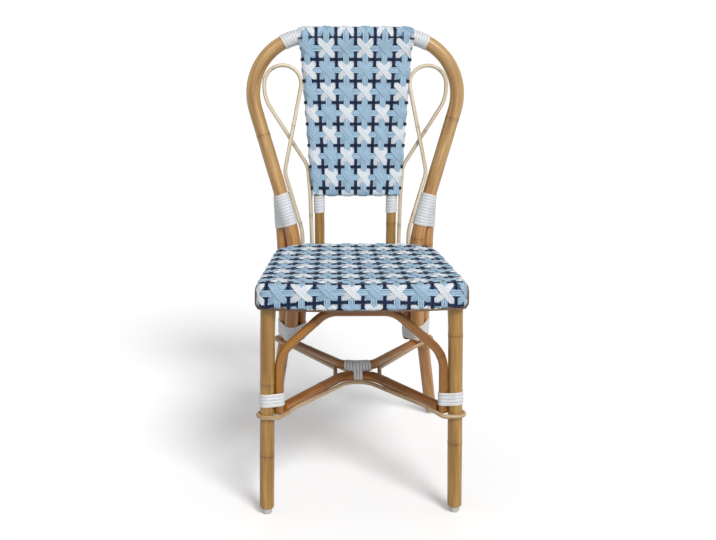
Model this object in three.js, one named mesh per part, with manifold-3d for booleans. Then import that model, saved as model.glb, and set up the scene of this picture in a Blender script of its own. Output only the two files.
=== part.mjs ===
// Rattan bistro chair: bent poles, thin canes, wound bindings, a woven seat and a woven back panel.
// Millimetres, +Z up. The chair faces -Y, and its own left, as seen from the front, is at -X.
// The origin is on the floor, in the middle of the chair's footprint.
import * as THREE from 'three';
import { mergeVertices } from 'three/addons/utils/BufferGeometryUtils.js';
import Module from 'manifold-3d';

const wasm = await Module();
wasm.setup();

// Pole and cane sizes
const hoopRadius = 15;
const frontLegRadius = 14;
const rearLegRadius = 13.6;
const archRadius = 10;
const bowRadius = 10;
const uprightRadius = 10.5;
const backRailRadius = 10;
const upperRailRadius = 9;
const lowerRailRadius = 7;
const bearerRadius = 7;
const bearerX = 36;
const caneRadius = 4.2;
const trimRadius = 1.9;
const trimBendRadius = 3;

// Shared fits
const clearance = 0.3;
const overrun = 5;
const weaveThickness = 3.5;

// Facets: sides of a section, and the largest turn between two stations of a bend
const poleSides = 12;
const slimSides = 10;
const caneSides = 8;
const bendStep = THREE.MathUtils.degToRad(13);

// Seat, measured on the outside of the weave
const seatHeight = 462;
const seatFrontHalfWidth = 196;
const seatRearHalfWidth = 164;
const seatFrontY = -12;
const seatDepth = 412;
const seatBow = 22;
const seatDrop = 15;
const apronHeight = 46;
const seatFrontCornerRadius = 16;
const seatRearCornerRadius = 85;
const seatEdgeRadius = 7;
const seatEdgeSteps = 3;
const frontRailEndGap = 3;

// Front legs
const frontLegInset = 20.1;
const frontLegTopY = 7;
const frontLegSplay = 6.4;
const frontLegHeadroom = 2;

// Back hoop. Here and below, a rise or a drop is taken from the top of the seat, and a setback from its rear
// edge.
const backHeight = 420;
const waistX = 130;
const waistDrop = 10;
const shoulderX = 259;
const backLeanShare = 0.15;
const shoulderRadius = 122;
const waistBendRadius = 170;
const hoopEndX = 142;
const hoopEndSetback = 57;
const hoopEndZ = 211;

// Rear legs
const rearLegTopRise = 96;
const rearFootX = 183.5;
const rearFootSetback = 157.5;
const rearLegKneeZ = 205;
const rearLegWaistBendRadius = 150;
const rearLegKneeBendRadius = 260;
const rearLegLashingRise = 43;
const rearLegTopOutwardDegrees = 5;
const rearLegLashingOutwardDegrees = 31;
const rearLegWaistOutwardDegrees = 57;
const rearLegKneeOutwardDegrees = 25;
const rearLegLashingBendRadius = 80;
const lashedGap = 2;

// Foot glides and the nails that hold them
const glideRadius = 9.3;
const glideHeight = 9;
const glideEdge = 1.2;
const footChamfer = 3.2;
const nailRadius = 1.5;
const nailHeadRadius = 3.2;
const nailHeadHeight = 1.6;
const nailLength = 26;
const nailRecess = 3;

// Stretcher, made of two bows that cross under the seat
const frontBowEndInset = 27.8;
const frontBowEndY = 14.5;
const frontBowEndZ = 213;
const frontBowApexShare = 0.565;
const frontBowApexZ = 205;
const rearBowEndX = 141;
const rearBowEndSetback = 76;
const rearBowEndZ = 194;
const bowApexStep = 8.4;
const rearBowApexZ = 227.2;
const bowBendRadius = 50;

// Arches under the seat
const frontArchKneeDrop = 141;
const frontArchTopX = 72;
const frontArchTopDrop = 59;
const frontArchEndZ = 206;
const frontArchBendRadius = 66;
const rearArchInset = 21.6;
const rearArchSetback = 13.9;
const rearArchKneeDrop = 132;
const rearArchTopX = 60;
const rearArchTopReach = 25;
const rearArchTopDrop = 65;
const rearArchBendRadius = 45;

// Back panel and its uprights
const panelBottomRise = 85;
const uprightFootX = 76.5;
const uprightFootDrop = 56;
const uprightKneeX = 77.3;
const uprightKneeRise = 78;
const uprightTopX = 103.5;
const uprightBendRadius = 260;

// Canes of the back: each is one ribbon that climbs, loops over and comes down again. A gap is from its axis
// to the axis of the hoop or the upright beside it.
const ribbonFootDrop = 54;
const ribbonStartGap = 19.6;
const ribbonHipGap = 23.6;
const ribbonHipRise = 12;
const ribbonHoopGap = 22.6;
const ribbonHoopHeightShare = 0.34;
const ribbonLoopHoopGap = 21.6;
const ribbonLoopPanelGap = 20;
const ribbonLoopMiddleDrop = 100.5;
const ribbonLoopLowDrop = 130;
const ribbonLoopLowBendRadius = 78;
const ribbonPanelGap = 19.5;
const ribbonPanelHeightShare = 0.363;
const ribbonLowerGap = 18.5;
const ribbonLowerRise = 86;
const ribbonEndGap = 16;
const ribbonBendRadius = 45;
const ribbonLongBendRadius = 110;
const ribbonHipOffset = 4;
const ribbonFrontOffset = 9.5;
const ribbonRearOffset = 7.2;

// Canes of the stretcher
const frontRingHeight = 197;
const rearRingHeight = 188;
const caneDropDegrees = 50;
const bayTipX = 47;
const bayTipRadius = 12;
const bayJoinRun = 30;
const rearBayJoinRun = 45;
const legSlantShare = 1.1;
const frontBoundCaneRoom = 6;
const rearBoundCaneRoom = 12.4;

// Bindings: flat strips wound round the poles
const stripThickness = 1.5;
const bindingClearance = 0.6;
const bindingSteps = 10;
const leastStripGap = 0.4;
const guideReach = 20;
const stripWidth = 4.6;
const hoopTopStrip = 4;
const hoopTopWrapLength = 36;
const hoopTopTurns = 6;
const backLegWrapBottomRise = 22;
const backLegWrapTopRise = 88;
const backLegTurns = 11;
const uprightWrapLength = 34;
const uprightTurns = 6;
const frontLegWrapBottom = 218;
const frontLegWrapTop = 246;
const frontLegTurns = 4;
const frontLegStrip = 5.4;
const rearLegWrapBottom = 216;
const rearLegWrapTop = 250;
const rearLegTurns = 6;
const bowWrapLength = 61.5;
const bowTurns = 9;
const bowSharedTurns = 3;
const aloneShare = 0.03;
const bowBindingEase = 1.3;

const looks = {
  rattan: { color: 0xb0824e, roughness: 0.38 },
  cane: { color: 0xc8ab78, roughness: 0.45 },
  binding: { color: 0xe4e6ea, roughness: 0.5 },
  weave: { color: 0x9dbdd8, roughness: 0.45 },
  plastic: { color: 0xdcdcd8, roughness: 0.4 },
  steel: { color: 0xa8a8a8, roughness: 0.35, metalness: 1 },
};

const chair = new THREE.Group();

function addNode(name, geometry, lookName, parent = chair) {
  const material = new THREE.MeshStandardMaterial({ metalness: 0, ...looks[lookName] });
  const mesh = new THREE.Mesh(geometry, material);
  mesh.name = name;
  parent.add(mesh);
  return mesh;
}

// Vectors

const at = (x, y, z) => new THREE.Vector3(x, y, z);
const mirrored = (point, side) => at(side * point.x, point.y, point.z);
const xAxis = at(1, 0, 0);
const zAxis = at(0, 0, 1);
const along = (from, to, share) => from.clone().lerp(to, share);

// Paths

// A curve through stations, so that a section is placed exactly at each of them
class StationPath extends THREE.Curve {
  constructor(stations) {
    super();
    this.stations = stations;
  }

  getPoint(share, target = new THREE.Vector3()) {
    const place = THREE.MathUtils.clamp(share, 0, 1) * (this.stations.length - 1);
    const index = Math.min(Math.floor(place), this.stations.length - 2);
    return target.lerpVectors(this.stations[index], this.stations[index + 1], place - index);
  }

  getUtoTmapping(share) {
    return share;
  }
}

// The stations of a path with straight runs between corners and a round bend at each inner corner
function bentPath(corners, bendRadii) {
  const stations = [corners[0].clone()];
  for (let i = 1; i < corners.length - 1; i += 1) {
    const corner = corners[i];
    const radius = bendRadii[i - 1];
    if (radius === 0) {
      stations.push(corner.clone());
      continue;
    }
    const back = corners[i - 1].clone().sub(corner).normalize();
    const ahead = corners[i + 1].clone().sub(corner).normalize();
    const turn = Math.PI - back.angleTo(ahead);
    const reach = radius * Math.tan(turn / 2);
    const start = corner.clone().addScaledVector(back, reach);
    const toCentre = back.clone().add(ahead).normalize();
    const centre = corner.clone().addScaledVector(toCentre, radius / Math.cos(turn / 2));
    const arm = start.clone().sub(centre);
    const steps = Math.max(1, Math.ceil(turn / bendStep));
    for (let k = 0; k <= steps; k += 1) {
      const angle = (turn * k) / steps;
      const point = centre.clone().addScaledVector(arm, Math.cos(angle));
      stations.push(point.addScaledVector(back, -radius * Math.sin(angle)));
    }
  }
  stations.push(corners[corners.length - 1].clone());
  return stations;
}

// The place along a path, by distance from its start, with the direction there
function placeOn(stations, distance) {
  let rest = distance;
  for (let i = 0; i < stations.length - 1; i += 1) {
    const run = stations[i + 1].clone().sub(stations[i]);
    const length = run.length();
    if (rest <= length || i === stations.length - 2) {
      const direction = run.normalize();
      return { point: stations[i].clone().addScaledVector(direction, rest), direction };
    }
    rest -= length;
  }
  throw new Error('a path needs two stations');
}

function lengthOf(stations) {
  return stations.slice(1).reduce((sum, point, i) => sum + point.distanceTo(stations[i]), 0);
}

// Where a path crosses a plane, at the crossing nearest to the plane's own point
function crossing(stations, point, direction) {
  let best = null;
  for (let i = 0; i < stations.length - 1; i += 1) {
    const before = stations[i].clone().sub(point).dot(direction);
    const after = stations[i + 1].clone().sub(point).dot(direction);
    if (before * after <= 0 && before !== after) {
      const found = along(stations[i], stations[i + 1], before / (before - after));
      if (!best || found.distanceTo(point) < best.distanceTo(point)) best = found;
    }
  }
  if (!best) throw new Error('a bound pole does not reach its binding');
  return best;
}

// The distance along a path at which it first reaches a coordinate value
function distanceAt(stations, axis, value) {
  let travelled = 0;
  for (let i = 0; i < stations.length - 1; i += 1) {
    const before = stations[i][axis] - value;
    const after = stations[i + 1][axis] - value;
    const length = stations[i].distanceTo(stations[i + 1]);
    if (before * after <= 0 && before !== after) return travelled + (length * before) / (before - after);
    travelled += length;
  }
  throw new Error(`the path never reaches ${axis} ${value}`);
}

// The part of a path between two distances from its start
function subPath(stations, from, to) {
  const inner = [];
  let travelled = 0;
  stations.forEach((point, i) => {
    if (i > 0) travelled += point.distanceTo(stations[i - 1]);
    if (travelled > from + clearance && travelled < to - clearance) inner.push(point.clone());
  });
  return [placeOn(stations, from).point, ...inner, placeOn(stations, to).point];
}

// Solids

function sectionShape(radius, sides) {
  const points = [];
  for (let i = 0; i < sides; i += 1) {
    const angle = (2 * Math.PI * (i + 0.5)) / sides;
    points.push(new THREE.Vector2(radius * Math.cos(angle), radius * Math.sin(angle)));
  }
  return new THREE.Shape(points);
}

function poleSolid(stations, radius, sides = poleSides) {
  const extrudePath = new StationPath(stations);
  const settings = { steps: stations.length - 1, extrudePath, bevelEnabled: false };
  return new THREE.ExtrudeGeometry(sectionShape(radius, sides), settings);
}

function roundSolid(profile, sides, place) {
  const geometry = new THREE.LatheGeometry(profile.map(([r, h]) => new THREE.Vector2(r, h)), sides);
  geometry.rotateX(Math.PI / 2);
  return geometry.applyMatrix4(place);
}

// A matrix that stands local +Z along a direction, at a point
function standing(point, direction) {
  const turn = new THREE.Quaternion().setFromUnitVectors(zAxis, direction.clone().normalize());
  return new THREE.Matrix4().compose(point, turn, new THREE.Vector3(1, 1, 1));
}

function signedVolume(positions, index) {
  const corner = (i) => at(positions[3 * i], positions[3 * i + 1], positions[3 * i + 2]);
  let sum = 0;
  for (let i = 0; i < index.length; i += 3) {
    sum += corner(index[i]).dot(corner(index[i + 1]).cross(corner(index[i + 2])));
  }
  return sum;
}

// Triangles with two corners at one vertex are left out, and the faces are turned outwards
function cleanTriangles(positions, index) {
  const kept = [];
  for (let i = 0; i < index.length; i += 3) {
    const [a, b, c] = [index[i], index[i + 1], index[i + 2]];
    if (a !== b && b !== c && c !== a) kept.push(a, b, c);
  }
  return signedVolume(positions, kept) < 0 ? kept.reverse() : kept;
}

function toSolid(geometry) {
  const bare = geometry.clone();
  bare.deleteAttribute('normal');
  bare.deleteAttribute('uv');
  const merged = mergeVertices(bare);
  const vertProperties = new Float32Array(merged.attributes.position.array);
  const triVerts = new Uint32Array(cleanTriangles(vertProperties, merged.index.array));
  return new wasm.Manifold(new wasm.Mesh({ numProp: 3, vertProperties, triVerts }));
}

function toGeometry(solid) {
  const mesh = solid.getMesh();
  const geometry = new THREE.BufferGeometry();
  geometry.setAttribute('position', new THREE.BufferAttribute(new Float32Array(mesh.vertProperties), 3));
  geometry.setIndex(new THREE.BufferAttribute(new Uint32Array(mesh.triVerts), 1));
  return geometry;
}

const joined = (geometries) => geometries.map(toSolid).reduce((sum, solid) => sum.add(solid));
const cut = (geometry, cutters) => toGeometry(toSolid(geometry).subtract(joined(cutters)));

// The radius of a faceted cutter that leaves the clearance all round a pole
const roomFor = (radius, sides = poleSides) => (radius + clearance) / Math.cos(Math.PI / sides);

// Windings

// The order of bound poles round their middle, counterclockwise
function boundOrder(centres) {
  const middle = new THREE.Vector2();
  centres.forEach((centre) => middle.addScaledVector(centre, 1 / centres.length));
  const angleOf = (i) => centres[i].clone().sub(middle).angle();
  return centres.map((_, i) => i).sort((a, b) => angleOf(a) - angleOf(b));
}

// The outline round one, two or three poles, as arcs about their centres
function boundArcs(centres, radii, order) {
  if (centres.length === 1) return [{ pole: 0, from: 0, sweep: 2 * Math.PI }];
  const wayOut = (a, b) => {
    const edge = centres[b].clone().sub(centres[a]);
    return Math.atan2(-edge.x, edge.y) + Math.asin((radii[a] - radii[b]) / edge.length());
  };
  return order.map((pole, k) => {
    const from = wayOut(order[(k + order.length - 1) % order.length], pole);
    const to = wayOut(pole, order[(k + 1) % order.length]);
    return { pole, from, sweep: THREE.MathUtils.euclideanModulo(to - from, 2 * Math.PI) };
  });
}

// One turn of a binding in the plane of its poles' sections: points of the outline, and the way out there
function boundTurn(centres, radii, arcs, counts) {
  const points = [];
  arcs.forEach((arc, k) => {
    const last = centres.length === 1 ? counts[k] - 1 : counts[k];
    const reach = radii[arc.pole] / Math.cos(arc.sweep / counts[k] / 2);
    for (let i = 0; i <= last; i += 1) {
      const angle = arc.from + (arc.sweep * i) / counts[k];
      const outward = new THREE.Vector2(Math.cos(angle), Math.sin(angle));
      points.push({ point: centres[arc.pole].clone().addScaledVector(outward, reach), outward });
    }
  });
  return points;
}

// A strip wound round poles in one unbroken run. Its turns follow the guide path from one distance to
// another, and centresAt gives the centres of the bound poles in the plane across the guide. With a steady
// axis, the turns lean only half as far as the guide does.
function windingSolid(binding) {
  const { name, guide, from, to, turns, stripWidth, poleRadii, centresAt, steadyAxis = null } = binding;
  const radii = poleRadii.map((radius) => radius + bindingClearance);
  const frameAt = (share, turn) => {
    const distance = from + (to - from) * share;
    const { point } = placeOn(guide, distance);
    const ahead = placeOn(guide, distance + guideReach).point;
    const direction = ahead.sub(placeOn(guide, distance - guideReach).point).normalize();
    if (steadyAxis) direction.add(steadyAxis).normalize();
    const reference = Math.abs(direction.x) > Math.abs(direction.z) ? zAxis : xAxis;
    const across = reference.clone().addScaledVector(direction, -reference.dot(direction)).normalize();
    const up = direction.clone().cross(across);
    const flat = (centre) => {
      const offset = centre.clone().sub(point);
      return new THREE.Vector2(offset.dot(across), offset.dot(up));
    };
    return { point, direction, across, up, centres: centresAt(point, direction, turn).map(flat) };
  };
  const middle = frameAt(0.5, Math.floor(turns / 2));
  const order = boundOrder(middle.centres);
  const counts = boundArcs(middle.centres, radii, order)
    .map((arc) => Math.max(2, Math.round((bindingSteps * arc.sweep) / (2 * Math.PI))));
  const turnAt = (frame) => boundTurn(frame.centres, radii, boundArcs(frame.centres, radii, order), counts);
  const midTurn = turnAt(middle);
  const perTurn = midTurn.length;
  const runs = midTurn.map((place, i) => place.point.distanceTo(midTurn[(i + 1) % perTurn].point));
  const sumTo = (count) => runs.slice(0, count).reduce((sum, run) => sum + run, 0);
  const positions = [];
  const edges = { low: [], high: [] };
  const stations = turns * perTurn;
  for (let j = 0; j <= stations; j += 1) {
    const turn = Math.floor(j / perTurn);
    const frame = frameAt((turn + sumTo(j % perTurn) / sumTo(perTurn)) / turns, turn);
    const { point, outward } = turnAt(frame)[j % perTurn];
    const inPlane = (flat) => frame.across.clone().multiplyScalar(flat.x).addScaledVector(frame.up, flat.y);
    const inner = frame.point.clone().add(inPlane(point));
    const outer = inner.clone().addScaledVector(inPlane(outward), stripThickness);
    const shift = frame.direction.clone().multiplyScalar(stripWidth / 2);
    const corners = [inner.clone().sub(shift), outer.clone().sub(shift), outer.add(shift), inner.add(shift)];
    corners.forEach((corner) => positions.push(corner.x, corner.y, corner.z));
    edges.low.push([corners[0], corners[1]]);
    edges.high.push([corners[3], corners[2]]);
  }
  checkLeastGap(name, edges, perTurn);
  return stripGeometry(positions, stations);
}

// The least gap from a turn's edge to the facing edge of later turns, at the stations and halfway between
function checkLeastGap(name, edges, perTurn) {
  const samples = (edge) => edge.flatMap((pair, i) => pair.flatMap((point, k) => {
    const next = edge[Math.min(i + 1, edge.length - 1)][k];
    return [{ place: i, point }, { place: i, point: along(point, next, 0.5) }];
  }));
  const lows = samples(edges.low);
  let least = Infinity;
  for (const high of samples(edges.high)) {
    for (const low of lows) {
      const apart = low.place - high.place;
      if (apart <= perTurn / 2 || apart >= 2 * perTurn) continue;
      least = Math.min(least, high.point.distanceTo(low.point));
    }
  }
  console.log(`${name}: least gap between turns ${least.toFixed(2)} mm`);
  if (least < leastStripGap) throw new Error(`${name} is wound too tightly`);
}

// A closed strip from rings of four corners
function stripGeometry(positions, steps) {
  const index = [];
  for (let j = 0; j < steps; j += 1) {
    for (let c = 0; c < 4; c += 1) {
      const a = 4 * j + c;
      const b = 4 * j + ((c + 1) % 4);
      index.push(a, b, b + 4, a, b + 4, a + 4);
    }
  }
  const end = 4 * steps;
  index.push(0, 2, 1, 0, 3, 2, end, end + 1, end + 2, end, end + 2, end + 3);
  const geometry = new THREE.BufferGeometry();
  geometry.setAttribute('position', new THREE.Float32BufferAttribute(positions, 3));
  geometry.setIndex(cleanTriangles(positions, index));
  return geometry;
}

// The two sides of the chair
const sides = [[-1, 'left'], [1, 'right']];
const bothSides = (corners) => [
  ...corners.map((corner) => mirrored(corner, -1)),
  ...corners.map((corner) => corner.clone()).reverse(),
];
const bothBends = (radii) => [...radii, ...[...radii].reverse()];
const sided = (stations, side) => stations.map((point) => mirrored(point, side));

// Back hoop: one bent pole from one rear leg, over the back, to the other
const hoopTopZ = seatHeight + backHeight;
const waistY = seatFrontY + seatDepth;
const waistZ = seatHeight - waistDrop;
const hoopRise = hoopTopZ - waistZ;
const backPlaneY = (z) => waistY + backLeanShare * (z - waistZ);
const hoopEnd = at(hoopEndX, waistY + hoopEndSetback, hoopEndZ);
const hoopWaist = at(waistX, waistY, waistZ);
const hoopShoulder = at(shoulderX, backPlaneY(hoopTopZ), hoopTopZ);
const hoopPath = bentPath(
  bothSides([hoopEnd, hoopWaist, hoopShoulder]),
  bothBends([waistBendRadius, shoulderRadius]),
);
const hoopHalf = [...hoopPath.slice(hoopPath.length / 2).reverse(), at(0, hoopShoulder.y, hoopShoulder.z)];
const hoopMiddle = lengthOf(hoopHalf);
const onHoopTop = (x) => hoopMiddle - distanceAt([...hoopHalf].reverse(), 'x', x);
const hoopXAt = (z) => placeOn(hoopHalf, distanceAt(hoopHalf, 'z', z)).point.x;
const hoopGeometry = poleSolid(hoopPath, hoopRadius);

// Rear legs: each lies behind the hoop and a little outside it, then kicks back and out to its foot
const lashedReach = hoopRadius + rearLegRadius + lashedGap;
function behindHoop(point, axis, outwardDegrees) {
  const behind = at(0, 1, 0).addScaledVector(axis, -axis.y).normalize();
  const outward = behind.clone().cross(axis).normalize();
  const angle = THREE.MathUtils.degToRad(outwardDegrees);
  return point.clone()
    .addScaledVector(behind, lashedReach * Math.cos(angle))
    .addScaledVector(outward, lashedReach * Math.sin(angle));
}
const hoopUpperAxis = hoopShoulder.clone().sub(hoopWaist).normalize();
const hoopLowerAxis = hoopWaist.clone().sub(hoopEnd).normalize();
const hoopWaistAxis = hoopUpperAxis.clone().add(hoopLowerAxis).normalize();
const onHoopUpper = (z) => along(hoopWaist, hoopShoulder, (z - waistZ) / hoopRise);
const onHoopLower = (z) => along(hoopEnd, hoopWaist, (z - hoopEndZ) / (waistZ - hoopEndZ));
const rearLegTop = behindHoop(
  onHoopUpper(seatHeight + rearLegTopRise),
  hoopUpperAxis,
  rearLegTopOutwardDegrees,
);
const rearLegLashing = behindHoop(
  onHoopUpper(seatHeight + rearLegLashingRise),
  hoopUpperAxis,
  rearLegLashingOutwardDegrees,
);
const rearLegWaist = behindHoop(hoopWaist, hoopWaistAxis, rearLegWaistOutwardDegrees);
const rearLegKnee = behindHoop(onHoopLower(rearLegKneeZ), hoopLowerAxis, rearLegKneeOutwardDegrees);
const rearFoot = at(rearFootX, waistY + rearFootSetback, glideHeight);
const rearLegPath = bentPath(
  [
    rearLegTop,
    rearLegLashing,
    rearLegWaist,
    rearLegKnee,
    along(rearLegKnee, rearFoot, 1 + (2 * overrun) / rearLegKneeZ),
  ],
  [rearLegLashingBendRadius, rearLegWaistBendRadius, rearLegKneeBendRadius],
);

// Front legs: straight poles that lean in a little towards the seat
const seatTilt = Math.atan(seatDrop / seatDepth);
const frontLegTopX = seatFrontHalfWidth - frontLegInset;
const frontLegTopZ = seatHeight - weaveThickness - frontLegHeadroom;
const frontLegTop = at(frontLegTopX, frontLegTopY, frontLegTopZ);
const frontFoot = at(frontLegTopX + frontLegSplay, 0, glideHeight);
const frontLegAt = (z) => along(frontFoot, frontLegTop, (z - glideHeight) / (frontLegTopZ - glideHeight));
const frontLegPath = [frontLegTop, along(frontLegTop, frontFoot, 1 + (2 * overrun) / frontLegTopZ)];

// Foot glides: a disc under each leg, held by a nail from below
const glideTopZ = glideHeight + clearance;
function roundBlank(profile, point) {
  return roundSolid(profile, poleSides, standing(point, zAxis));
}
function cylinderAt(point, radius, bottom, top) {
  return roundBlank([[0, bottom], [radius, bottom], [radius, top], [0, top]], at(point.x, point.y, 0));
}
const nailHeadTopZ = nailRecess + nailHeadHeight;
const nailTopZ = nailRecess + nailLength;
const shankRoom = roomFor(nailRadius);
const headRoom = roomFor(nailHeadRadius);
const glideNailProfile = [
  [0, nailRecess],
  [nailHeadRadius, nailRecess],
  [nailHeadRadius, nailHeadTopZ],
  [nailRadius, nailHeadTopZ],
  [nailRadius, nailTopZ],
  [0, nailTopZ],
];
const glideProfile = [
  [0, 0],
  [glideRadius - glideEdge, 0],
  [glideRadius, glideEdge],
  [glideRadius, glideHeight],
  [0, glideHeight],
];
const groundPlace = (foot, side) => at(side * foot.x, foot.y, 0);
function addGlide(foot, side, label) {
  const place = groundPlace(foot, side);
  const blank = roundSolid(glideProfile, 2 * poleSides, standing(place, zAxis));
  const shankBore = cylinderAt(place, shankRoom, nailRecess, glideHeight + overrun);
  const headBore = cylinderAt(place, headRoom, -overrun, nailHeadTopZ + clearance);
  addNode(`foot_glide_${label}`, cut(blank, [shankBore, headBore]), 'plastic');
  addNode(`glide_nail_${label}`, roundSolid(glideNailProfile, slimSides, standing(place, zAxis)), 'steel');
}

// The cutters that level a leg's foot, chamfer it and bore it for the glide's nail
function footCutters(foot, side, radius) {
  const place = groundPlace(foot, side);
  const wide = radius + overrun;
  const level = cylinderAt(place, 2 * wide, glideTopZ - 4 * overrun, glideTopZ);
  const chamfer = roundBlank([
    [radius - footChamfer - overrun, glideTopZ - overrun],
    [wide, glideTopZ - overrun],
    [wide, glideTopZ + footChamfer + overrun],
    [radius - footChamfer - overrun, glideTopZ - overrun],
  ], place);
  const bore = cylinderAt(place, shankRoom, 0, nailTopZ + clearance);
  return [level, chamfer, bore];
}

// A nail driven from behind through each rear leg into the hoop
const hoopNailZ = along(hoopEnd, hoopWaist, 0.5).z;
const nailedLeg = placeOn(rearLegPath, distanceAt(rearLegPath, 'z', hoopNailZ));
const nailedLegPoint = nailedLeg.point;
const nailedHoopPoint = crossing(hoopHalf, nailedLegPoint, nailedLeg.direction);
const hoopNailAxis = nailedHoopPoint.clone().sub(nailedLegPoint).normalize();
const hoopNailReach = rearLegRadius + lashedGap + hoopRadius;
const hoopNailProfile = [
  [0, -rearLegRadius - clearance - nailHeadHeight],
  [nailHeadRadius, -rearLegRadius - clearance - nailHeadHeight],
  [nailHeadRadius, -rearLegRadius - clearance],
  [nailRadius, -rearLegRadius - clearance],
  [nailRadius, hoopNailReach],
  [0, hoopNailReach],
];
const hoopNailRoom = [
  [0, -rearLegRadius - overrun],
  [shankRoom, -rearLegRadius - overrun],
  [shankRoom, hoopNailReach + clearance],
  [0, hoopNailReach + clearance],
];
const hoopNailSolid = (profile, side) => roundSolid(
  profile,
  slimSides,
  standing(mirrored(nailedLegPoint, side), mirrored(hoopNailAxis, side)),
);
const hoopNailRooms = sides.map(([side]) => hoopNailSolid(hoopNailRoom, side));
addNode('back_hoop', cut(hoopGeometry, hoopNailRooms), 'rattan');

sides.forEach(([side, label]) => {
  const frontLeg = poleSolid(sided(frontLegPath, side), frontLegRadius);
  addNode(`front_leg_${label}`, cut(frontLeg, footCutters(frontFoot, side, frontLegRadius)), 'rattan');
  const rearLeg = poleSolid(sided(rearLegPath, side), rearLegRadius);
  const rearCutters = [...footCutters(rearFoot, side, rearLegRadius), hoopNailSolid(hoopNailRoom, side)];
  addNode(`rear_leg_${label}`, cut(rearLeg, rearCutters), 'rattan');
  addGlide(frontFoot, side, `front_${label}`);
  addGlide(rearFoot, side, `rear_${label}`);
  addNode(`hoop_nail_${label}`, hoopNailSolid(hoopNailProfile, side), 'steel');
});

// Arches: the front one stands inside the front legs, the rear one inside the ends of the hoop
const frontArchInset = at(frontLegRadius + archRadius + clearance, 0, 0);
const frontArchCorner = (z) => frontLegAt(z).sub(frontArchInset);
const frontArchKneeZ = seatHeight - frontArchKneeDrop;
const frontArchTopY = frontArchCorner(frontArchKneeZ).y;
const frontArchTopZ = seatHeight - frontArchTopDrop;
const frontArchPath = bentPath(
  bothSides([
    frontArchCorner(frontArchEndZ),
    frontArchCorner(frontArchKneeZ),
    at(frontArchTopX, frontArchTopY, frontArchTopZ),
  ]),
  bothBends([frontArchBendRadius, frontArchBendRadius]),
);
addNode('front_arch', poleSolid(frontArchPath, archRadius, slimSides), 'rattan');

const rearArchOffset = at(-rearArchInset, rearArchSetback, 0);
const rearArchEnd = hoopEnd.clone().add(rearArchOffset);
const rearArchKnee = onHoopLower(seatHeight - rearArchKneeDrop).add(rearArchOffset);
const rearArchTopY = waistY - rearArchTopReach;
const rearArchTopZ = seatHeight - rearArchTopDrop;
const rearArchPath = bentPath(
  bothSides([rearArchEnd, rearArchKnee, at(rearArchTopX, rearArchTopY, rearArchTopZ)]),
  bothBends([rearArchBendRadius, rearArchBendRadius]),
);
addNode('rear_arch', poleSolid(rearArchPath, archRadius, slimSides), 'rattan');

// Stretcher bows: straight arms with a round bend at the middle of the chair
function bowCorners(endX, endY, endZ, apexY, apexZ) {
  const depth = Math.abs(apexY - endY) - bowBendRadius;
  const armAngle = Math.atan2(depth, endX) + Math.asin(bowBendRadius / Math.hypot(depth, endX));
  const cornerDepth = endX * Math.tan(armAngle);
  const cornerY = endY + Math.sign(apexY - endY) * cornerDepth;
  const bendShare = (cornerY - apexY) / (cornerY - endY);
  const cornerZ = (apexZ - endZ * bendShare) / (1 - bendShare);
  return { end: at(endX, endY, endZ), corner: at(0, cornerY, cornerZ) };
}
const frontBowApexY = frontBowApexShare * waistY;
const rearBowEndY = waistY + rearBowEndSetback;
const rearBowApexY = frontBowApexY + bowApexStep;
const frontBowEndX = frontLegTopX - frontBowEndInset;
const frontBow = bowCorners(frontBowEndX, frontBowEndY, frontBowEndZ, frontBowApexY, frontBowApexZ);
const rearBow = bowCorners(rearBowEndX, rearBowEndY, rearBowEndZ, rearBowApexY, rearBowApexZ);
const bowPath = ({ end, corner }) => bentPath([mirrored(end, -1), corner, end], [bowBendRadius]);
const frontBowPath = bowPath(frontBow);
const rearBowPath = bowPath(rearBow);

// One nail holds the bows together where they cross
const frontBowApex = at(0, frontBowApexY, frontBowApexZ);
const rearBowApex = at(0, rearBowApexY, rearBowApexZ);
const bowNailAxis = frontBowApex.clone().sub(rearBowApex);
const bowNailReach = bowNailAxis.length() + bowRadius / 2;
const bowNailPlace = standing(rearBowApex, bowNailAxis);
const bowNailProfile = [
  [0, -bowRadius / 2],
  [nailRadius, -bowRadius / 2],
  [nailRadius, bowNailReach],
  [0, bowNailReach],
];
const bowNailRoomProfile = [
  [0, -2 * bowRadius],
  [shankRoom, -2 * bowRadius],
  [shankRoom, bowNailReach + clearance],
  [0, bowNailReach + clearance],
];
const bowNailRoom = roundSolid(bowNailRoomProfile, slimSides, bowNailPlace);
addNode('front_stretcher_bow', cut(poleSolid(frontBowPath, bowRadius, slimSides), [bowNailRoom]), 'rattan');
addNode('rear_stretcher_bow', cut(poleSolid(rearBowPath, bowRadius, slimSides), [bowNailRoom]), 'rattan');
addNode('stretcher_nail', roundSolid(bowNailProfile, slimSides, bowNailPlace), 'steel');

// Stretcher canes: each outlines one bay below the bows and goes round the outside of the legs
const caneReach = bowRadius + caneRadius + clearance;
const caneDrop = THREE.MathUtils.degToRad(caneDropDegrees);
const caneOut = caneReach * Math.cos(caneDrop);
const caneDown = caneReach * Math.sin(caneDrop);
const frontRingCentre = frontLegAt(frontRingHeight);
const rearRingCentre = crossing(rearLegPath, at(0, 0, rearRingHeight), zAxis);
const frontRingRadius = frontLegRadius + caneRadius + clearance;
const rearRingRadius = rearLegRadius * legSlantShare + caneRadius + clearance;
const ringSide = (centre, radius) => at(centre.x + radius, centre.y, centre.z);

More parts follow.
